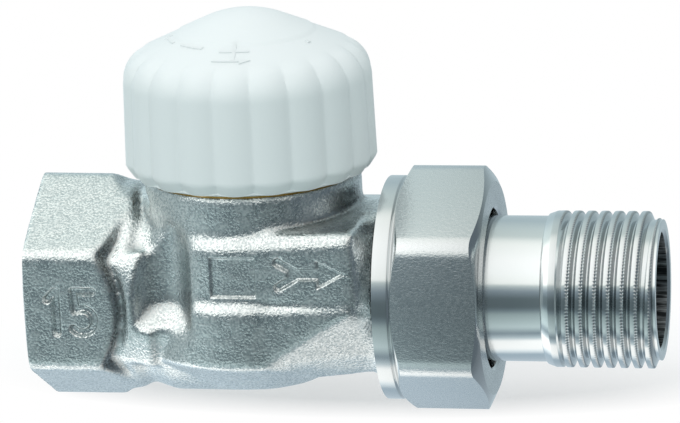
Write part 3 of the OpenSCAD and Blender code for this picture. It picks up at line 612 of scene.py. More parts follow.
roof_mesh = prism("roof_cut", [(38.5, 0, 12.1), (38.5, 16, 8.6), (38.5, 17, 16), (38.5, 0, 16)],
    (9.5, 0, 0))
roof_tool = piece("roof_tool", roof_mesh, [turned_nickel])
combined(roof_tool, "DIFFERENCE", turned("neck", [(0, 0), (14.75 * mm, 0), (14.75 * mm, 20 * mm),
    (0, 20 * mm)], "stem", stem_x))
combined(casting, "DIFFERENCE", roof_tool.data)
bpy.data.objects.remove(roof_tool)
remesh = casting.modifiers.new("even_mesh", "REMESH")
remesh.mode = "VOXEL"
remesh.voxel_size = 0.36 * mm
settled(casting)
grown(casting, casting_tree(), {"Softening": 6, "Unevenness": 0.09 * mm, "Wave": 2.0 * mm,
    "Crisp end": 0.8 * mm, "Soft from": 24 * mm, "Finish": cast_nickel})


def distance_to_line(x, z, points):
    """Distance of each (x, z) from a line through the points."""
    nearest = np.full(x.shape, 1.0)
    for (x0, z0), (x1, z1) in zip(points[:-1], points[1:]):
        run = (x1 - x0) ** 2 + (z1 - z0) ** 2
        t = np.clip(((x - x0) * (x1 - x0) + (z - z0) * (z1 - z0)) / run, 0, 1)
        nearest = np.minimum(nearest, np.hypot(x - x0 - t * (x1 - x0), z - z0 - t * (z1 - z0)))
    return nearest


def sunk(depth_inside, depth, edge):
    """Depth of a stamped mark from how far a point lies inside its outline."""
    t = np.clip(depth_inside / edge + 0.5, 0, 1)
    return depth * t * t * (3 - 2 * t)


def inside_box(x, z, low, high):
    """How far each (x, z) lies inside a rectangle."""
    return np.minimum(np.minimum(x - low[0], high[0] - x), np.minimum(z - low[1], high[1] - z))


def curve_of_five(cx, cz, size):
    """The strokes of a plain figure 5."""
    bowl = [(cx + size * 0.27 * math.cos(a), cz - size * 0.20 + size * 0.27 * math.sin(a))
        for a in np.radians(np.linspace(120, -140, 12))]
    return [(cx + size * 0.24, cz + size * 0.46), (cx - size * 0.17, cz + size * 0.46)] + bowl


def cast_marks(x, z):
    """Depth of the marks stamped on the front: the size on the hexagon, a bare tablet, an arrow."""
    stroke = 0.46 * mm
    one = distance_to_line(x, z, [(3.3 * mm, 1.7 * mm), (4.5 * mm, 2.9 * mm), (4.5 * mm, -2.9 * mm)])
    five = distance_to_line(x, z, curve_of_five(8.0 * mm, 0, 6.2 * mm))
    size_mark = sunk(stroke - np.minimum(one, five), 0.62 * mm, 0.42 * mm)
    tablet = sunk(inside_box(x, z, (26.3 * mm, 2.9 * mm), (32.3 * mm, 8.2 * mm)), 0.5 * mm, 0.4 * mm)
    arrow_z = 6.0 * mm
    shaft = 0.75 * mm - distance_to_line(x, z, [(37.4 * mm, arrow_z), (40.6 * mm, arrow_z)])
    half_width = (44.1 * mm - x) * 0.52
    head = np.minimum(half_width - abs(z - arrow_z), x - 40.6 * mm)
    tail = 0.5 * mm - np.minimum(
        distance_to_line(x, z, [(35.4 * mm, arrow_z + 1.7 * mm), (37.6 * mm, arrow_z + 0.4 * mm)]),
        distance_to_line(x, z, [(35.4 * mm, arrow_z - 1.7 * mm), (37.6 * mm, arrow_z - 0.4 * mm)]))
    arrow = sunk(np.maximum(np.maximum(shaft, head), tail), 0.52 * mm, 0.36 * mm)
    return size_mark + tablet + arrow


shape = bmesh.new()
shape.from_mesh(casting.data)
for x0, x1, z0, z1 in ((2.5, 10.5, -3.8, 3.8), (25.6, 33.0, 2.2, 8.9), (34.6, 44.8, 3.6, 8.4)):
    near = [e for e in shape.edges if all(
        x0 * mm < v.co.x < x1 * mm and z0 * mm < v.co.z < z1 * mm and v.co.y < -11 * mm
        for v in e.verts)]
    bmesh.ops.subdivide_edges(shape, edges=near, cuts=2, use_grid_fill=True)
shape.normal_update()
front = [v for v in shape.verts if v.co.y < -11 * mm and v.normal.y < -0.4]
depths = cast_marks(np.array([v.co.x for v in front]), np.array([v.co.z for v in front]))
for vertex, depth in zip(front, depths):
    vertex.co.y += depth
shape.to_mesh(casting.data)
shape.free()


outside = 40 * mm
combined(casting, "DIFFERENCE", turned("inlet_cut", [(0, -5 * mm), (outside, -5 * mm), (outside, 3.7 * mm),
    (13.6 * mm, 0.02 * mm), (10.9 * mm, 0.02 * mm), (10.9 * mm, inlet_thread_end),
    (0, inlet_thread_end)], "flow"))
combined(casting, "DIFFERENCE", turned("neck_cut", [(0, neck_shoulder_z), (outside, neck_shoulder_z),
    (outside, 60 * mm), (0, 60 * mm)], "stem", stem_x))
combined(casting, "DIFFERENCE", turned("union_cut", [(0, union_relief_x), (outside, union_relief_x),
    (outside, 70 * mm), (0, 70 * mm)], "flow"))
shaded(casting, 38)
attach(casting, "valve")
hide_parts("valve_body")


# Threads of the body: the tapped inlet, the head thread on the neck and the union thread on the
# outlet end are cut in the casting, so they are bright turned metal.
def thread_tree():
    """One turn after another of a thread's ridge, tapered away at both ends, on a bare core."""
    tree, given, out = new_tree("thread_ridge", {"Root radius": "Float", "Height": "Float",
        "Base width": "Float", "Crest width": "Float", "Turns": "Float", "Pitch": "Float",
        "Run-out": "Float", "Profile turn": "Float", "Notches": "Float", "Notch depth": "Float",
        "Crown": "Float", "Steps": "Int", "Finish": "Material"})
    length = add(tree, "ShaderNodeMath", {0: given.outputs["Turns"], 1: given.outputs["Pitch"]},
        operation="MULTIPLY")
    helix = add(tree, "GeometryNodeCurveSpiral", {"Resolution": given.outputs["Steps"],
        "Rotations": given.outputs["Turns"], "Start Radius": given.outputs["Root radius"],
        "End Radius": given.outputs["Root radius"], "Height": length.outputs[0]})
    upright = add(tree, "GeometryNodeSetCurveNormal", {"Curve": helix.outputs[0]}, mode="Z_UP")
    along = add(tree, "GeometryNodeSplineParameter")
    left = add(tree, "ShaderNodeMath", {0: 1.0, 1: along.outputs["Factor"]}, operation="SUBTRACT")
    nearer = add(tree, "ShaderNodeMath", {0: along.outputs["Factor"], 1: left.outputs[0]},
        operation="MINIMUM")
    turns_in = add(tree, "ShaderNodeMath", {0: nearer.outputs[0], 1: given.outputs["Turns"]},
        operation="MULTIPLY")
    grown_in = add(tree, "ShaderNodeMath", {0: turns_in.outputs[0], 1: given.outputs["Run-out"]},
        operation="DIVIDE", use_clamp=True)
    kept = add(tree, "ShaderNodeMath", {0: grown_in.outputs[0], 1: 0.05}, operation="MAXIMUM")
    tapered = add(tree, "GeometryNodeSetCurveRadius", {"Curve": upright.outputs[0],
        "Radius": kept.outputs[0]})
    ridge = add(tree, "GeometryNodeCurvePrimitiveQuadrilateral", {"Height": given.outputs["Height"],
        "Bottom Width": given.outputs["Base width"], "Top Width": given.outputs["Crest width"],
        "Offset": 0.0}, mode="TRAPEZOID")
    half = add(tree, "ShaderNodeMath", {0: given.outputs["Height"], 1: 0.45}, operation="MULTIPLY")
    lifted = add(tree, "ShaderNodeCombineXYZ", {"Y": half.outputs[0]})
    finer = add(tree, "GeometryNodeSubdivideCurve", {"Curve": ridge.outputs[0], "Cuts": 3})
    seated = add(tree, "GeometryNodeTransform", {"Geometry": finer.outputs[0],
        "Translation": lifted.outputs[0]})
    outline = add(tree, "ShaderNodeSeparateXYZ", {0: add(tree, "GeometryNodeInputPosition").outputs[0]})
    across = add(tree, "ShaderNodeMath", {0: outline.outputs["X"], 1: given.outputs["Crest width"]},
        operation="DIVIDE")
    leading = add(tree, "ShaderNodeMath", {0: across.outputs[0], 1: -0.3}, operation="LESS_THAN")
    top_line = add(tree, "ShaderNodeMath", {0: given.outputs["Height"], 1: 0.9}, operation="MULTIPLY")
    upper = add(tree, "ShaderNodeMath", {0: outline.outputs["Y"], 1: top_line.outputs[0]},
        operation="GREATER_THAN")
    square = add(tree, "ShaderNodeMath", {0: across.outputs[0], 1: across.outputs[0]},
        operation="MULTIPLY")
    rounding = add(tree, "ShaderNodeMath", {0: square.outputs[0], 1: upper.outputs[0]},
        operation="MULTIPLY")
    fall = add(tree, "ShaderNodeMath", {0: rounding.outputs[0], 1: given.outputs["Crown"]},
        operation="MULTIPLY")
    drop = add(tree, "ShaderNodeCombineXYZ", {"Y": add(tree, "ShaderNodeMath", {
        0: fall.outputs[0], 1: -4.0}, operation="MULTIPLY").outputs[0]})
    edge = add(tree, "ShaderNodeMath", {0: leading.outputs[0], 1: upper.outputs[0]},
        operation="MULTIPLY")
    marked = add(tree, "GeometryNodeStoreNamedAttribute", {"Geometry": seated.outputs[0],
        "Name": "crest_edge", "Value": edge.outputs[0]}, data_type="FLOAT", domain="POINT")
    crowned = add(tree, "GeometryNodeSetPosition", {"Geometry": marked.outputs[0],
        "Offset": drop.outputs[0]})
    facing = add(tree, "ShaderNodeCombineXYZ", {"Z": given.outputs["Profile turn"]})
    aimed = add(tree, "GeometryNodeTransform", {"Geometry": crowned.outputs[0],
        "Rotation": facing.outputs[0]})
    solid = add(tree, "GeometryNodeCurveToMesh", {"Curve": tapered.outputs[0],
        "Profile Curve": aimed.outputs[0], "Scale": kept.outputs[0], "Fill Caps": True})
    place = add(tree, "GeometryNodeInputPosition")
    parts = add(tree, "ShaderNodeSeparateXYZ", {0: place.outputs[0]})
    angle = add(tree, "ShaderNodeMath", {0: parts.outputs["Y"], 1: parts.outputs["X"]},
        operation="ARCTAN2")
    phase = add(tree, "ShaderNodeMath", {0: angle.outputs[0], 1: given.outputs["Notches"]},
        operation="MULTIPLY")
    wave = add(tree, "ShaderNodeMath", {0: phase.outputs[0]}, operation="COSINE")
    dip = add(tree, "ShaderNodeMath", {0: wave.outputs[0], 1: 1.0}, operation="SUBTRACT")
    depth = add(tree, "ShaderNodeMath", {0: dip.outputs[0], 1: given.outputs["Notch depth"]},
        operation="MULTIPLY")
    flat = add(tree, "ShaderNodeCombineXYZ", {"X": parts.outputs["X"], "Y": parts.outputs["Y"]})
    crest = add(tree, "GeometryNodeInputNamedAttribute", {"Name": "crest_edge"}, data_type="FLOAT")
    cut = add(tree, "ShaderNodeMath", {0: depth.outputs[0], 1: crest.outputs[0]},
        operation="MULTIPLY")
    outward = add(tree, "ShaderNodeVectorMath", {0: flat.outputs[0]}, operation="NORMALIZE")
    shift = add(tree, "ShaderNodeVectorMath", {0: outward.outputs[0], "Scale": cut.outputs[0]},
        operation="SCALE")
    notched = add(tree, "GeometryNodeSetPosition", {"Geometry": solid.outputs[0],
        "Offset": shift.outputs[0]})
    real = add(tree, "GeometryNodeRealizeInstances", {"Geometry": notched.outputs[0]})
    named = add(tree, "GeometryNodeSetMaterial", {"Geometry": real.outputs[0],
        "Material": given.outputs["Finish"]})
    tree.links.new(named.outputs[0], out.inputs[0])
    return tree


thread_ridge = thread_tree()
along_flow = Matrix.Rotation(math.radians(90), 4, "Y")


def thread(name, core_radius, crest_radius, pitch, start, stop, axis, finish, steps=96, notches=0,
        notch_depth=0.0, crest_share=0.16, base_share=0.92, run_out=0.8, crown=0.0):
    """A thread's ridge from start to stop, outwards or inwards from its core to its crest."""
    turns = (stop - start) / pitch - 0.9
    made = grown(piece(name, bpy.data.meshes.new(name)), thread_ridge, {
        "Root radius": core_radius, "Height": abs(crest_radius - core_radius) * 1.05,
        "Base width": pitch * base_share, "Crest width": pitch * crest_share, "Turns": turns,
        "Pitch": pitch, "Run-out": run_out, "Notches": float(notches), "Notch depth": notch_depth,
        "Crown": crown, "Profile turn": math.radians(90 if crest_radius > core_radius else -90),
        "Steps": steps, "Finish": finish})
    lift = Matrix.Translation((0, 0, start + 0.45 * pitch))
    if axis == "flow":
        made.data.transform(along_flow @ lift)
    else:
        made.data.transform(Matrix.Translation((stem_x, 0, 0)) @ lift)
    shape = bmesh.new()
    shape.from_mesh(made.data)
    bmesh.ops.recalc_face_normals(shape, faces=shape.faces)
    shape.to_mesh(made.data)
    shape.free()
    return shaded(made, 28)


def turned_brass():
    """Bare turned brass, a little dulled, with the tool's rings about the stem axis."""
    material, tree, shader, place = metal("turned_brass", "#D9B36A", 0.26)
    rings = add(tree, "ShaderNodeMapping", {"Vector": place, "Scale": (20, 20, 1 / (0.2 * mm))})
    marks = add(tree, "ShaderNodeTexNoise", {"Vector": rings.outputs[0], "Scale": 1.0, "Detail": 2.0})
    bump = add(tree, "ShaderNodeBump", {"Distance": 0.006 * mm, "Height": marks.outputs[0]})
    tree.links.new(bump.outputs[0], shader.inputs["Normal"])
    tint = add(tree, "ShaderNodeTexNoise", {"Vector": place, "Scale": 1 / (2.5 * mm)})
    mixed = add(tree, "ShaderNodeMix", {"Factor": tint.outputs[0], 6: linear("#D9B36A"),
        7: linear("#C79C52")}, data_type="RGBA")
    tree.links.new(mixed.outputs[2], shader.inputs["Base Color"])
    return material


brass = turned_brass()
inlet_bore = [(11.3 * mm, 0.03 * mm), (11.3 * mm, inlet_thread_end), (9.3 * mm, inlet_thread_end),
    (10.46 * mm, inlet_thread_end - 1.2 * mm), (10.46 * mm, 0.6 * mm), (11.0 * mm, 0.03 * mm)]
inlet_sleeve = piece("inlet_sleeve", turned("inlet_sleeve", inlet_bore, "flow"), [turned_nickel])
neck_top = body_high.z
# the plating is thin in the relief under the cap's lip, and the brass shows
neck_relief = piece("neck_relief", turned("neck_relief", [
    (12.9 * mm, neck_shoulder_z - 0.3 * mm), (13.7 * mm, neck_shoulder_z - 0.3 * mm),
    (13.95 * mm, neck_shoulder_z - 0.05 * mm), (13.95 * mm, 17.52 * mm),
    (12.9 * mm, 17.52 * mm)], "stem", stem_x), [brass])
neck_sleeve = piece("neck_sleeve", turned("neck_sleeve", softened([(12.06 * mm, 15.0 * mm),
    (13.0 * mm, 15.0 * mm), (13.0 * mm, 17.5 * mm), (13.95 * mm, 17.5 * mm), (14.1 * mm, 17.8 * mm), (14.1 * mm, neck_top - 0.3 * mm), (13.8 * mm, neck_top),
    (12.8 * mm, neck_top), (12.8 * mm, 19.6 * mm), (12.06 * mm, 18.8 * mm)], 0.1 * mm),
    "stem", stem_x), [turned_nickel])
outlet_x = body_high.x
union_sleeve = piece("union_sleeve", turned("union_sleeve", softened([(8.5 * mm, 46.4 * mm),
    (11.5 * mm, 46.4 * mm), (11.5 * mm, union_relief_x), (11.9 * mm, union_relief_x + 0.2 * mm),
    (12.1 * mm, 48.7 * mm), (12.1 * mm, outlet_x - 0.2 * mm), (11.9 * mm, outlet_x),
    (10.6 * mm, outlet_x), (8.5 * mm, outlet_x - 2.1 * mm)], 0.1 * mm), "flow"), [turned_nickel])
pipe_pitch = 1.814 * mm
head_pitch = 1.5 * mm
head_thread_z = 17.5 * mm
union_thread_x = 48.3 * mm
body_threads = joined("body_threads", shaded(inlet_sleeve), shaded(neck_sleeve), shaded(union_sleeve),
    shaded(neck_relief),
    thread("inlet_ridge", 10.46 * mm, 9.32 * mm, pipe_pitch, 0.5 * mm, 13.2 * mm, "flow", turned_nickel),
    thread("neck_ridge", 14.1 * mm, 14.98 * mm, head_pitch, head_thread_z, neck_top - 0.1 * mm, "stem",
        turned_nickel),
    thread("union_ridge", 12.1 * mm, 13.2 * mm, pipe_pitch, union_thread_x, outlet_x - 0.1 * mm, "flow",
        turned_nickel))
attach(body_threads, "valve")


# Insert, gland nut and stem parts: turned brass and stainless steel, screwed into the neck from
# above, with rubber seals and plastic bushes. Only their tops and the disc over the seat show.
def ground_steel(name, colour, roughness):
    """Ground or drawn steel, with faint lines along the stem."""
    material, tree, shader, place = metal(name, colour, roughness)
    lines = add(tree, "ShaderNodeMapping", {"Vector": place, "Scale": (6000, 6000, 400)})
    marks = add(tree, "ShaderNodeTexNoise", {"Vector": lines.outputs[0], "Scale": 1.0, "Detail": 2.0})
    spread = add(tree, "ShaderNodeMapRange", {"Value": marks.outputs[0], "From Min": 0.3,
        "From Max": 0.7, "To Min": roughness - 0.05, "To Max": roughness + 0.07})
    tree.links.new(spread.outputs[0], shader.inputs["Roughness"])
    return material


def moulded(name, colour, roughness, ior, texture, bump_height):
    """A moulded plastic or rubber with a fine skin texture of a given width."""
    material = bpy.data.materials.new(name)
    tree = fresh_tree(material)
    shader = add(tree, "ShaderNodeBsdfPrincipled", {"Base Color": linear(colour),
        "Roughness": roughness, "IOR": ior})
    add(tree, "ShaderNodeOutputMaterial", {"Surface": shader.outputs[0]})
    place = add(tree, "ShaderNodeTexCoord").outputs["Object"]
    skin = add(tree, "ShaderNodeTexNoise", {"Vector": place, "Scale": 1 / texture, "Detail": 2.0})
    bump = add(tree, "ShaderNodeBump", {"Distance": bump_height, "Height": skin.outputs[0]})
    tree.links.new(bump.outputs[0], shader.inputs["Normal"])
    return material


stainless = ground_steel("ground_stainless_steel", "#CFCFCC", 0.22)
spring_steel = ground_steel("tempered_spring_steel", "#6E7074", 0.30)
rubber = moulded("moulded_epdm_rubber", "#1B1B1D", 0.60, 1.52, 0.25 * mm, 0.01 * mm)
bush_plastic = moulded("machined_ptfe", "#E9E6DD", 0.45, 1.38, 0.3 * mm, 0.01 * mm)
finishes = {
    brass: ["insert_body", "gland_nut", "spring_collar", "disc_holder", "clamp_washer", "clamp_nut"],
    stainless: ["pressure_pin", "stem"],
    spring_steel: ["return_spring", "stem_circlip"],
    rubber: ["insert_o_ring", "stem_o_ring", "gland_o_ring", "pin_o_ring", "seat_washer"],
    bush_plastic: ["guide_bush", "pin_washer"]}
for finish, names in finishes.items():
    for name in names:
        nodes[name].data.materials.clear()
        nodes[name].data.materials.append(finish)


# Screw cap: one injection moulding in white plastic, with twenty lobes for the fingers, a domed
# roof with small turn marks, a thread inside, and a boss on ribs that holds the pin down.
def cap_plastic():
    """White polypropylene with a faint cool tint: soft, silky, a little light under the skin."""
    material = moulded("white_polypropylene", "#EAF0F0", 0.42, 1.49, 0.5 * mm, 0.006 * mm)
    shader = material.node_tree.nodes["Principled BSDF"]
    shader.inputs["Subsurface Weight"].default_value = 0.12
    shader.inputs["Subsurface Radius"].default_value = (1.0, 1.0, 1.0)
    shader.inputs["Subsurface Scale"].default_value = 1.2 * mm
    return material


white_plastic = cap_plastic()
lobes = 20
crease_depth = 0.5 * mm
lobe_clock = math.radians(-4.9)
cap_low, cap_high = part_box("screw_cap")
lip_z = cap_low.z
rim_radius = (cap_high.y - cap_low.y) / 2
rim_z = lip_z + 1.65 * mm
shoulder_z = lip_z + 12.5 * mm
shoulder_round = 4.5 * mm
top_skirt_radius = rim_radius - 0.25 * mm
slope = math.radians(23.7)
crown_round = 13.9 * mm
marks_radius = 9.1 * mm
marks_step = 0.25 * mm
bore_radius = 15.06 * mm


def arc(cx, cy, radius, start, stop, count):
    """Points of an arc, its angles in degrees."""
    return [(cx + radius * math.cos(a), cy + radius * math.sin(a))
        for a in np.radians(np.linspace(start, stop, count))]


def straight(a, b, count):
    """Points from a up to, but not including, b."""
    return [(a[0] + (b[0] - a[0]) * i / count, a[1] + (b[1] - a[1]) * i / count) for i in range(count)]


bend_r = top_skirt_radius - shoulder_round
tangent_r = bend_r + shoulder_round * math.sin(slope)
tangent_z = shoulder_z + shoulder_round * math.cos(slope)
crown_r = crown_round * math.sin(slope)
crown_z = tangent_z + (tangent_r - crown_r) * math.tan(slope)
apex_z = cap_high.z


def roof_z(r):
    """Height of the cap's straight roof at a radius."""
    return crown_z - (r - crown_r) * math.tan(slope)


outer = straight((15.2 * mm, lip_z), (15.9 * mm, lip_z + 0.05 * mm), 2)
outer += straight((15.9 * mm, lip_z + 0.05 * mm), (16.1 * mm, lip_z + 0.3 * mm), 2)
outer += straight((16.1 * mm, lip_z + 0.3 * mm), (rim_radius - 0.05 * mm, rim_z - 0.1 * mm), 6)
outer += straight((rim_radius, rim_z + 0.1 * mm), (top_skirt_radius, shoulder_z), 26)
outer += arc(bend_r, shoulder_z, shoulder_round, 0, 90 - 23.7, 22)[:-1]
roof_rows = straight((tangent_r, tangent_z), (marks_radius + 0.15 * mm, roof_z(marks_radius)), 26)
roof_rows += straight((marks_radius, roof_z(marks_radius) + marks_step * 0.9),
    (crown_r, crown_z + marks_step), 18)
crown_rows = arc(0, apex_z - crown_round, crown_round, 90 - 23.7, 90, 12)
inner_r = bore_radius + 0.05 * mm
room_r = bore_radius - 1.0 * mm
room_top = tangent_z - 2.1 * mm
inner = [(0, apex_z - 2.1 * mm), (crown_r, crown_z - 1.9 * mm), (room_r - 3 * mm, room_top),
    (room_r - 1 * mm, shoulder_z), (room_r, lip_z + 10.9 * mm), (inner_r, lip_z + 10.3 * mm),
    (inner_r, lip_z + 0.5 * mm), (inner_r + 0.05 * mm, lip_z)]


def lobed_tree():
    """Presses creases between lobes into a round shell's outside. They fade out on the roof."""
    tree, given, out = new_tree("lobed_skirt", {"Lobes": "Float", "Crease": "Float",
        "Fade start": "Float", "Fade end": "Float", "Finish": "Material"})
    place = add(tree, "GeometryNodeInputPosition")
    parts = add(tree, "ShaderNodeSeparateXYZ", {0: place.outputs[0]})
    flat = add(tree, "ShaderNodeCombineXYZ", {"X": parts.outputs["X"], "Y": parts.outputs["Y"]})
    radius = add(tree, "ShaderNodeVectorMath", {0: flat.outputs[0]}, operation="LENGTH")
    angle = add(tree, "ShaderNodeMath", {0: parts.outputs["Y"], 1: parts.outputs["X"]},
        operation="ARCTAN2")
    turn = add(tree, "ShaderNodeMath", {0: given.outputs["Lobes"], 1: 2 * math.pi}, operation="DIVIDE")
    phase = add(tree, "ShaderNodeMath", {0: angle.outputs[0], 1: turn.outputs[0]},
        operation="MULTIPLY")
    saw = add(tree, "ShaderNodeMath", {0: phase.outputs[0], 1: 0.0, 2: 1.0}, operation="WRAP")
    middle = add(tree, "ShaderNodeMath", {0: saw.outputs[0], 1: 2.0, 2: -1.0},
        operation="MULTIPLY_ADD")
    square = add(tree, "ShaderNodeMath", {0: middle.outputs[0], 1: 2.0}, operation="POWER")
    fade = add(tree, "ShaderNodeMapRange", {"Value": radius.outputs["Value"],
        "From Min": given.outputs["Fade end"], "From Max": given.outputs["Fade start"]},
        interpolation_type="SMOOTHSTEP")
    normal = add(tree, "GeometryNodeInputNormal")
    outward = add(tree, "ShaderNodeVectorMath", {0: flat.outputs[0]}, operation="NORMALIZE")
    facing = add(tree, "ShaderNodeVectorMath", {0: outward.outputs[0], 1: (0, 0, 0.3)},
        operation="ADD")
    side = add(tree, "ShaderNodeVectorMath", {0: normal.outputs[0], 1: facing.outputs[0]},
        operation="DOT_PRODUCT")
    is_outer = add(tree, "ShaderNodeMapRange", {"Value": side.outputs["Value"], "From Min": 0.0,
        "From Max": 0.35})
    depth = add(tree, "ShaderNodeMath", {0: square.outputs[0], 1: given.outputs["Crease"]},
        operation="MULTIPLY")
    faded = add(tree, "ShaderNodeMath", {0: depth.outputs[0], 1: fade.outputs[0]},
        operation="MULTIPLY")
    used = add(tree, "ShaderNodeMath", {0: faded.outputs[0], 1: is_outer.outputs[0]},
        operation="MULTIPLY")
    inwards = add(tree, "ShaderNodeMath", {0: used.outputs[0], 1: -1.0}, operation="MULTIPLY")
    shift = add(tree, "ShaderNodeVectorMath", {0: normal.outputs[0], "Scale": inwards.outputs[0]},
        operation="SCALE")
    moved = add(tree, "GeometryNodeSetPosition", {"Geometry": given.outputs["Geometry"],
        "Offset": shift.outputs[0]})
    real = add(tree, "GeometryNodeRealizeInstances", {"Geometry": moved.outputs[0]})
    named = add(tree, "GeometryNodeSetMaterial", {"Geometry": real.outputs[0],
        "Material": given.outputs["Finish"]})
    tree.links.new(named.outputs[0], out.inputs[0])
    return tree


cap = piece("lobed_cap", turned("lobed_cap", outer + roof_rows + crown_rows + inner, "stem", 0.0,
    lobes * 18))
grown(cap, lobed_tree(), {"Lobes": float(lobes), "Crease": crease_depth,
    "Fade start": 16.2 * mm, "Fade end": 12.4 * mm, "Finish": white_plastic})
cap.data.transform(Matrix.Translation((stem_x, 0, 0)) @ Matrix.Rotation(lobe_clock, 4, "Z"))
cap_thread = thread("cap_ridge", inner_r, inner_r - 0.8 * mm, head_pitch, head_thread_z + head_pitch / 2,
    lip_z + 10.0 * mm, "stem", white_plastic)
boss_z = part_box("pressure_pin")[1].z + 0.02 * mm
boss = piece("cap_boss", turned("cap_boss", softened([(0, boss_z), (3.4 * mm, boss_z),
    (3.4 * mm, crown_z - 1 * mm), (0, crown_z - 1 * mm)], 0.2 * mm), "stem", stem_x, 96),
    [white_plastic])


def rib_tree():
    """Upright ribs set round the stem axis."""
    tree, given, out = new_tree("cap_ribs", {"Count": "Int", "Length": "Float", "Thickness": "Float",
        "Height": "Float", "Start": "Float", "Foot": "Float", "Finish": "Material"})
    size = add(tree, "ShaderNodeCombineXYZ", {"X": given.outputs["Length"],
        "Y": given.outputs["Thickness"], "Z": given.outputs["Height"]})
    slab = add(tree, "GeometryNodeMeshCube", {"Size": size.outputs[0]})
    half_length = add(tree, "ShaderNodeMath", {0: given.outputs["Length"], 1: 0.5,
        2: given.outputs["Start"]}, operation="MULTIPLY_ADD")
    half_height = add(tree, "ShaderNodeMath", {0: given.outputs["Height"], 1: 0.5,
        2: given.outputs["Foot"]}, operation="MULTIPLY_ADD")
    outwards = add(tree, "ShaderNodeCombineXYZ", {"X": half_length.outputs[0],
        "Z": half_height.outputs[0]})
    set_out = add(tree, "GeometryNodeTransform", {"Geometry": slab.outputs[0],
        "Translation": outwards.outputs[0]})
    points = add(tree, "GeometryNodeMeshLine", {"Count": given.outputs["Count"],
        "Offset": (0, 0, 0)})
    number = add(tree, "GeometryNodeInputIndex")
    step = add(tree, "ShaderNodeMath", {0: 2 * math.pi, 1: given.outputs["Count"]},
        operation="DIVIDE")
    angle = add(tree, "ShaderNodeMath", {0: number.outputs[0], 1: step.outputs[0]},
        operation="MULTIPLY")
    turn = add(tree, "ShaderNodeCombineXYZ", {"Z": angle.outputs[0]})
    copies = add(tree, "GeometryNodeInstanceOnPoints", {"Points": points.outputs[0],
        "Instance": set_out.outputs[0], "Rotation": turn.outputs[0]})
    real = add(tree, "GeometryNodeRealizeInstances", {"Geometry": copies.outputs[0]})
    named = add(tree, "GeometryNodeSetMaterial", {"Geometry": real.outputs[0],
        "Material": given.outputs["Finish"]})
    tree.links.new(named.outputs[0], out.inputs[0])
    return tree




def roof_mark(line, width, height):
    """A raised stroke on the roof along points given by radius and degrees about the stem."""
    shape = bmesh.new()
    points = [Vector((r * math.cos(math.radians(a)), r * math.sin(math.radians(a)))) for r, a in line]
    rows = []
    for i, point in enumerate(points):
        along = (points[min(i + 1, len(points) - 1)] - points[max(i - 1, 0)]).normalized()
        half = Vector((-along.y, along.x)) * (width[i] if isinstance(width, list) else width) / 2
        row = []
        for side, raise_by in ((1, -0.5 * mm), (1, height), (-1, height), (-1, -0.5 * mm)):
            corner = point + half * side * (0.8 if raise_by > 0 else 1)
            row.append(shape.verts.new((stem_x + corner.x, corner.y, roof_z(corner.length) + raise_by)))
        rows.append(row)
    for first, second in zip(rows[:-1], rows[1:]):
        for i in range(4):
            k = (i + 1) % 4
            shape.faces.new((first[i], first[k], second[k], second[i]))
    shape.faces.new(rows[0])
    shape.faces.new(rows[-1][::-1])
    bmesh.ops.recalc_face_normals(shape, faces=shape.faces)
    mesh = bpy.data.meshes.new("roof_mark")
    shape.to_mesh(mesh)
    shape.free()
    return shaded(piece("roof_mark", mesh, [white_plastic]), 50)


def turn_arrow(radius, start, stop):
    """A curved arrow round the roof: its shaft, then its head."""
    shaft = [(radius, a) for a in np.linspace(start, stop, 9)]
    ahead = math.copysign(math.degrees(1.5 * mm / radius), stop - start)
    head = [(radius, stop), (radius, stop + ahead * 0.5), (radius, stop + ahead)]
    return [roof_mark(shaft, 0.45 * mm, 0.16 * mm),
        roof_mark(head, [1.5 * mm, 0.8 * mm, 0.1 * mm], 0.16 * mm)]


mark_radius = 10.4 * mm
roof_marks = [roof_mark([(10.0 * mm, a) for a in np.linspace(-135, -112, 7)], 0.6 * mm, 0.18 * mm),
    roof_mark([(mark_radius, a) for a in np.linspace(-97, -75, 7)], 0.6 * mm, 0.18 * mm),
    roof_mark([(mark_radius - 1.9 * mm, -86), (mark_radius, -86), (mark_radius + 1.9 * mm, -86)],
        0.6 * mm, 0.17 * mm),
    roof_mark([(10.4 * mm, -27), (10.4 * mm, -23.5)], 0.65 * mm, 0.18 * mm)]
roof_marks += turn_arrow(12.3 * mm, -99, -82) + turn_arrow(10.2 * mm, -146, -166)

rib_foot = 29.5 * mm
ribs = grown(piece("cap_ribs", bpy.data.meshes.new("cap_ribs")), rib_tree(), {"Count": 6,
    "Length": 9.6 * mm, "Thickness": 1.0 * mm, "Height": room_top - rib_foot + 0.6 * mm,
    "Start": 3.0 * mm, "Foot": rib_foot, "Finish": white_plastic})
ribs.data.transform(Matrix.Translation((stem_x, 0, 0)))
cap = joined("white_screw_cap", shaded(cap, 40), cap_thread, shaded(boss), shaded(ribs), *roof_marks)
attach(cap, "cap")
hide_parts("screw_cap")


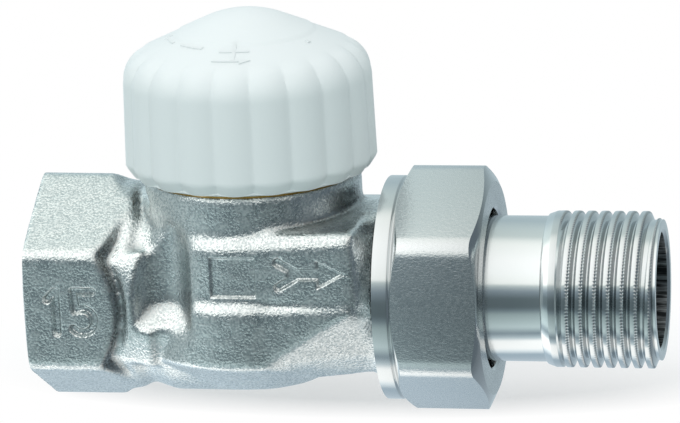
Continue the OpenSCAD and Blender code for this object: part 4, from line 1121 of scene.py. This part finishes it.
# Union nut: drawn hexagon bar, turned inside and at both ends, nickel-plated. It has a round
# collar with a groove before the hexagon, and pulls the tailpiece's cone against the body.
def milled_nickel():
    """Nickel plate over drawn hexagon bar: satin flats with faint scratches round the nut."""
    material, tree, shader, place = metal("drawn_satin_nickel", "#D0D3D4", 0.18)
    across = add(tree, "ShaderNodeMapping", {"Vector": place, "Scale": (2200, 2200, 5200)})
    scratches = add(tree, "ShaderNodeTexNoise", {"Vector": across.outputs[0], "Scale": 1.0,
        "Detail": 3.0})
    bump = add(tree, "ShaderNodeBump", {"Distance": 0.032 * mm, "Height": scratches.outputs[0]})
    tree.links.new(bump.outputs[0], shader.inputs["Normal"])
    spread = add(tree, "ShaderNodeMapRange", {"Value": scratches.outputs[0], "From Min": 0.3,
        "From Max": 0.7, "To Min": 0.18, "To Max": 0.30})
    tree.links.new(spread.outputs[0], shader.inputs["Roughness"])
    return material


bar_nickel = milled_nickel()
nut_low, nut_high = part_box("union_nut")
nut_x = nut_low.x
nut_wall_x = nut_high.x - 2.6 * mm
# the chamfers reach a little further out than the plain solid's
nut_hex_x = nut_x + 2.4 * mm
nut_end_x = nut_high.x + 1.1 * mm
across_flats = 29.9 * mm
corner_round = 3.4 * mm
flat_crown = 180 * mm
nut_clock = math.radians(-5)
to_centre = (flat_crown - corner_round) ** 2
crown_centre = flat_crown - across_flats / 2
corner_centre = -crown_centre * math.cos(math.pi / 6) + math.sqrt(
    to_centre - (crown_centre * math.sin(math.pi / 6)) ** 2)
flat_half_turn = math.atan2(corner_centre * 0.5, corner_centre * math.cos(math.pi / 6) + crown_centre)
hex_points = []
for side in range(6):
    corner = side * math.pi / 3 + nut_clock
    spread = math.pi / 6 - flat_half_turn
    for a in np.linspace(corner - spread, corner + spread, 15):
        hex_points.append((corner_centre * math.cos(corner) + corner_round * math.cos(a),
            corner_centre * math.sin(corner) + corner_round * math.sin(a)))
    flat = corner + math.pi / 6
    for a in np.linspace(flat - flat_half_turn, flat + flat_half_turn, 9)[1:-1]:
        hex_points.append((flat_crown * math.cos(a) - crown_centre * math.cos(flat),
            flat_crown * math.sin(a) - crown_centre * math.sin(flat)))
shape = bmesh.new()
ends = [[shape.verts.new((x, -b, a)) for a, b in hex_points] for x in (nut_hex_x, nut_end_x)]
for i in range(len(hex_points)):
    k = (i + 1) % len(hex_points)
    shape.faces.new((ends[0][i], ends[0][k], ends[1][k], ends[1][i]))
shape.faces.new(ends[0])
shape.faces.new(ends[1][::-1])
bmesh.ops.recalc_face_normals(shape, faces=shape.faces)
hex_mesh = bpy.data.meshes.new("nut_hexagon")
shape.to_mesh(hex_mesh)
shape.free()
hexagon = piece("nut_hexagon", hex_mesh, [bar_nickel])
combined(hexagon, "INTERSECT", turned("nut_limit", [(0, nut_hex_x - 1 * mm),
    (14.9 * mm, nut_hex_x - 1 * mm), (14.9 * mm, nut_hex_x), (20.1 * mm, nut_hex_x + 3.2 * mm),
    (20.1 * mm, nut_end_x - 2.75 * mm), (14.3 * mm, nut_end_x), (0, nut_end_x)], "flow", steps=240))
combined(hexagon, "UNION", turned("nut_collar", softened([(0, nut_x), (15.05 * mm, nut_x),
    (15.05 * mm, nut_hex_x - 0.4 * mm), (14.8 * mm, nut_hex_x - 0.12 * mm),
    (14.8 * mm, nut_hex_x + 0.5 * mm), (0, nut_hex_x + 0.5 * mm)], 0.12 * mm), "flow", steps=240))
combined(hexagon, "DIFFERENCE", turned("nut_inside", [(0, nut_x - 1 * mm), (14.2 * mm, nut_x - 1 * mm),
    (13.27 * mm, nut_x + 0.5 * mm), (13.27 * mm, nut_wall_x), (10.7 * mm, nut_wall_x),
    (10.7 * mm, nut_end_x - 0.35 * mm), (11.5 * mm, nut_end_x + 0.5 * mm), (0, nut_end_x + 0.5 * mm)],
    "flow", steps=240))
broken = hexagon.modifiers.new("broken_edges", "BEVEL")
broken.width = 0.13 * mm
broken.segments = 2
broken.limit_method = "ANGLE"
broken.angle_limit = math.radians(24)
settled(hexagon)
nut_thread = thread("nut_ridge", 13.25 * mm, 12.2 * mm, pipe_pitch, union_thread_x + pipe_pitch / 2,
    nut_x + 9.0 * mm, "flow", turned_nickel)
nut = joined("plated_union_nut", shaded(hexagon, 20), nut_thread)
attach(nut, "nut")
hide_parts("union_nut")


# Tailpiece: a turned brass tube, nickel-plated, with a cone nose that seals in the body, a collar
# held by the nut, a parallel shank and a pipe thread whose crests are notched to grip the hemp.
tail_low, tail_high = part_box("tailpiece")
nose_x = tail_low.x
tail_end_x = tail_high.x
shank_radius = 9.75 * mm
tail_bore = 7.75 * mm
tail_crest = 10.4775 * mm
tail_root = tail_crest - 1.15 * mm
shank_end = 69.1 * mm
collar_radius = 11.9 * mm
collar_end = nut_wall_x - 0.02 * mm
# the thread's crests are pressed smooth by the die, and shine more than what is turned
formed_nickel = lathe_nickel("formed_bright_nickel", 0.04, 0.07)
# the bore is drilled and dull, with the drill's streaks; its dark colour is painted shade inside the tube
bore_nickel_painted_shade, tree, shader, place = metal("drilled_dull_nickel_painted_shade", "#55595C", 0.38)
streaks = add(tree, "ShaderNodeTexNoise", {"Scale": 1.0, "Detail": 2.0, "Vector": add(tree,
    "ShaderNodeMapping", {"Vector": place, "Scale": (300, 2500, 2500)}).outputs[0]})
tone = add(tree, "ShaderNodeMix", {"Factor": add(tree, "ShaderNodeMapRange", {
    "Value": streaks.outputs[0], "From Min": 0.40, "From Max": 0.64}).outputs[0],
    6: linear("#2A2D2F"), 7: linear("#8D9295")}, data_type="RGBA")
tree.links.new(tone.outputs[2], shader.inputs["Base Color"])
tube = piece("tail_tube", turned("tail_tube", softened([(tail_bore, nose_x), (8.5 * mm, nose_x),
    (10.6 * mm, nose_x + 2.1 * mm), (collar_radius, nose_x + 2.4 * mm), (collar_radius, collar_end),
    (shank_radius, collar_end), (shank_radius, shank_end), (shank_radius + 0.34 * mm, shank_end + 0.12 * mm),
    (tail_crest - 0.03 * mm, shank_end + 1.15 * mm), (tail_crest - 0.03 * mm, shank_end + 2.05 * mm),
    (tail_root, shank_end + 2.65 * mm),
    (tail_root, tail_end_x - 0.3 * mm), (9.4 * mm, tail_end_x), (tail_bore + 0.4 * mm, tail_end_x),
    (tail_bore, tail_end_x - 0.4 * mm)], 0.05 * mm), "flow"), [turned_nickel, bore_nickel_painted_shade])
# the bore's faces take the dull finish with its painted shade
for face in tube.data.polygons:
    if all(math.hypot(*tube.data.vertices[v].co.yz) < tail_bore + 0.05 * mm for v in face.vertices):
        face.material_index = 1
tail_thread = thread("tail_ridge", tail_root, tail_crest, pipe_pitch, shank_end + 0.22 * mm,
    tail_end_x + 0.5 * mm, "flow", formed_nickel, steps=720, notches=144, notch_depth=0.10 * mm,
    crest_share=0.42, base_share=0.98, run_out=0.5, crown=0.02 * mm)


def lug_mesh():
    """Two lugs inside the bore, that the fitting key turns the tailpiece by."""
    shape = bmesh.new()
    start, stop = nose_x + 4 * mm, nose_x + 14 * mm
    for side in (-1, 1):
        bmesh.ops.create_cube(shape, size=1, matrix=Matrix.Translation(
            ((start + stop) / 2, side * 7.2 * mm, 0)) @ Matrix.Diagonal(
            (stop - start, 1.5 * mm, 2.5 * mm, 1)))
    bmesh.ops.bevel(shape, geom=shape.edges, offset=0.2 * mm, segments=2, affect="EDGES")
    mesh = bpy.data.meshes.new("key_lugs")
    shape.to_mesh(mesh)
    shape.free()
    return mesh


lugs = piece("key_lugs", lug_mesh(), [turned_nickel])
tail = joined("plated_tailpiece", shaded(tube, 24), tail_thread, shaded(lugs))
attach(tail, "tailpiece")
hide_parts("tailpiece")

bpy.context.view_layer.update()
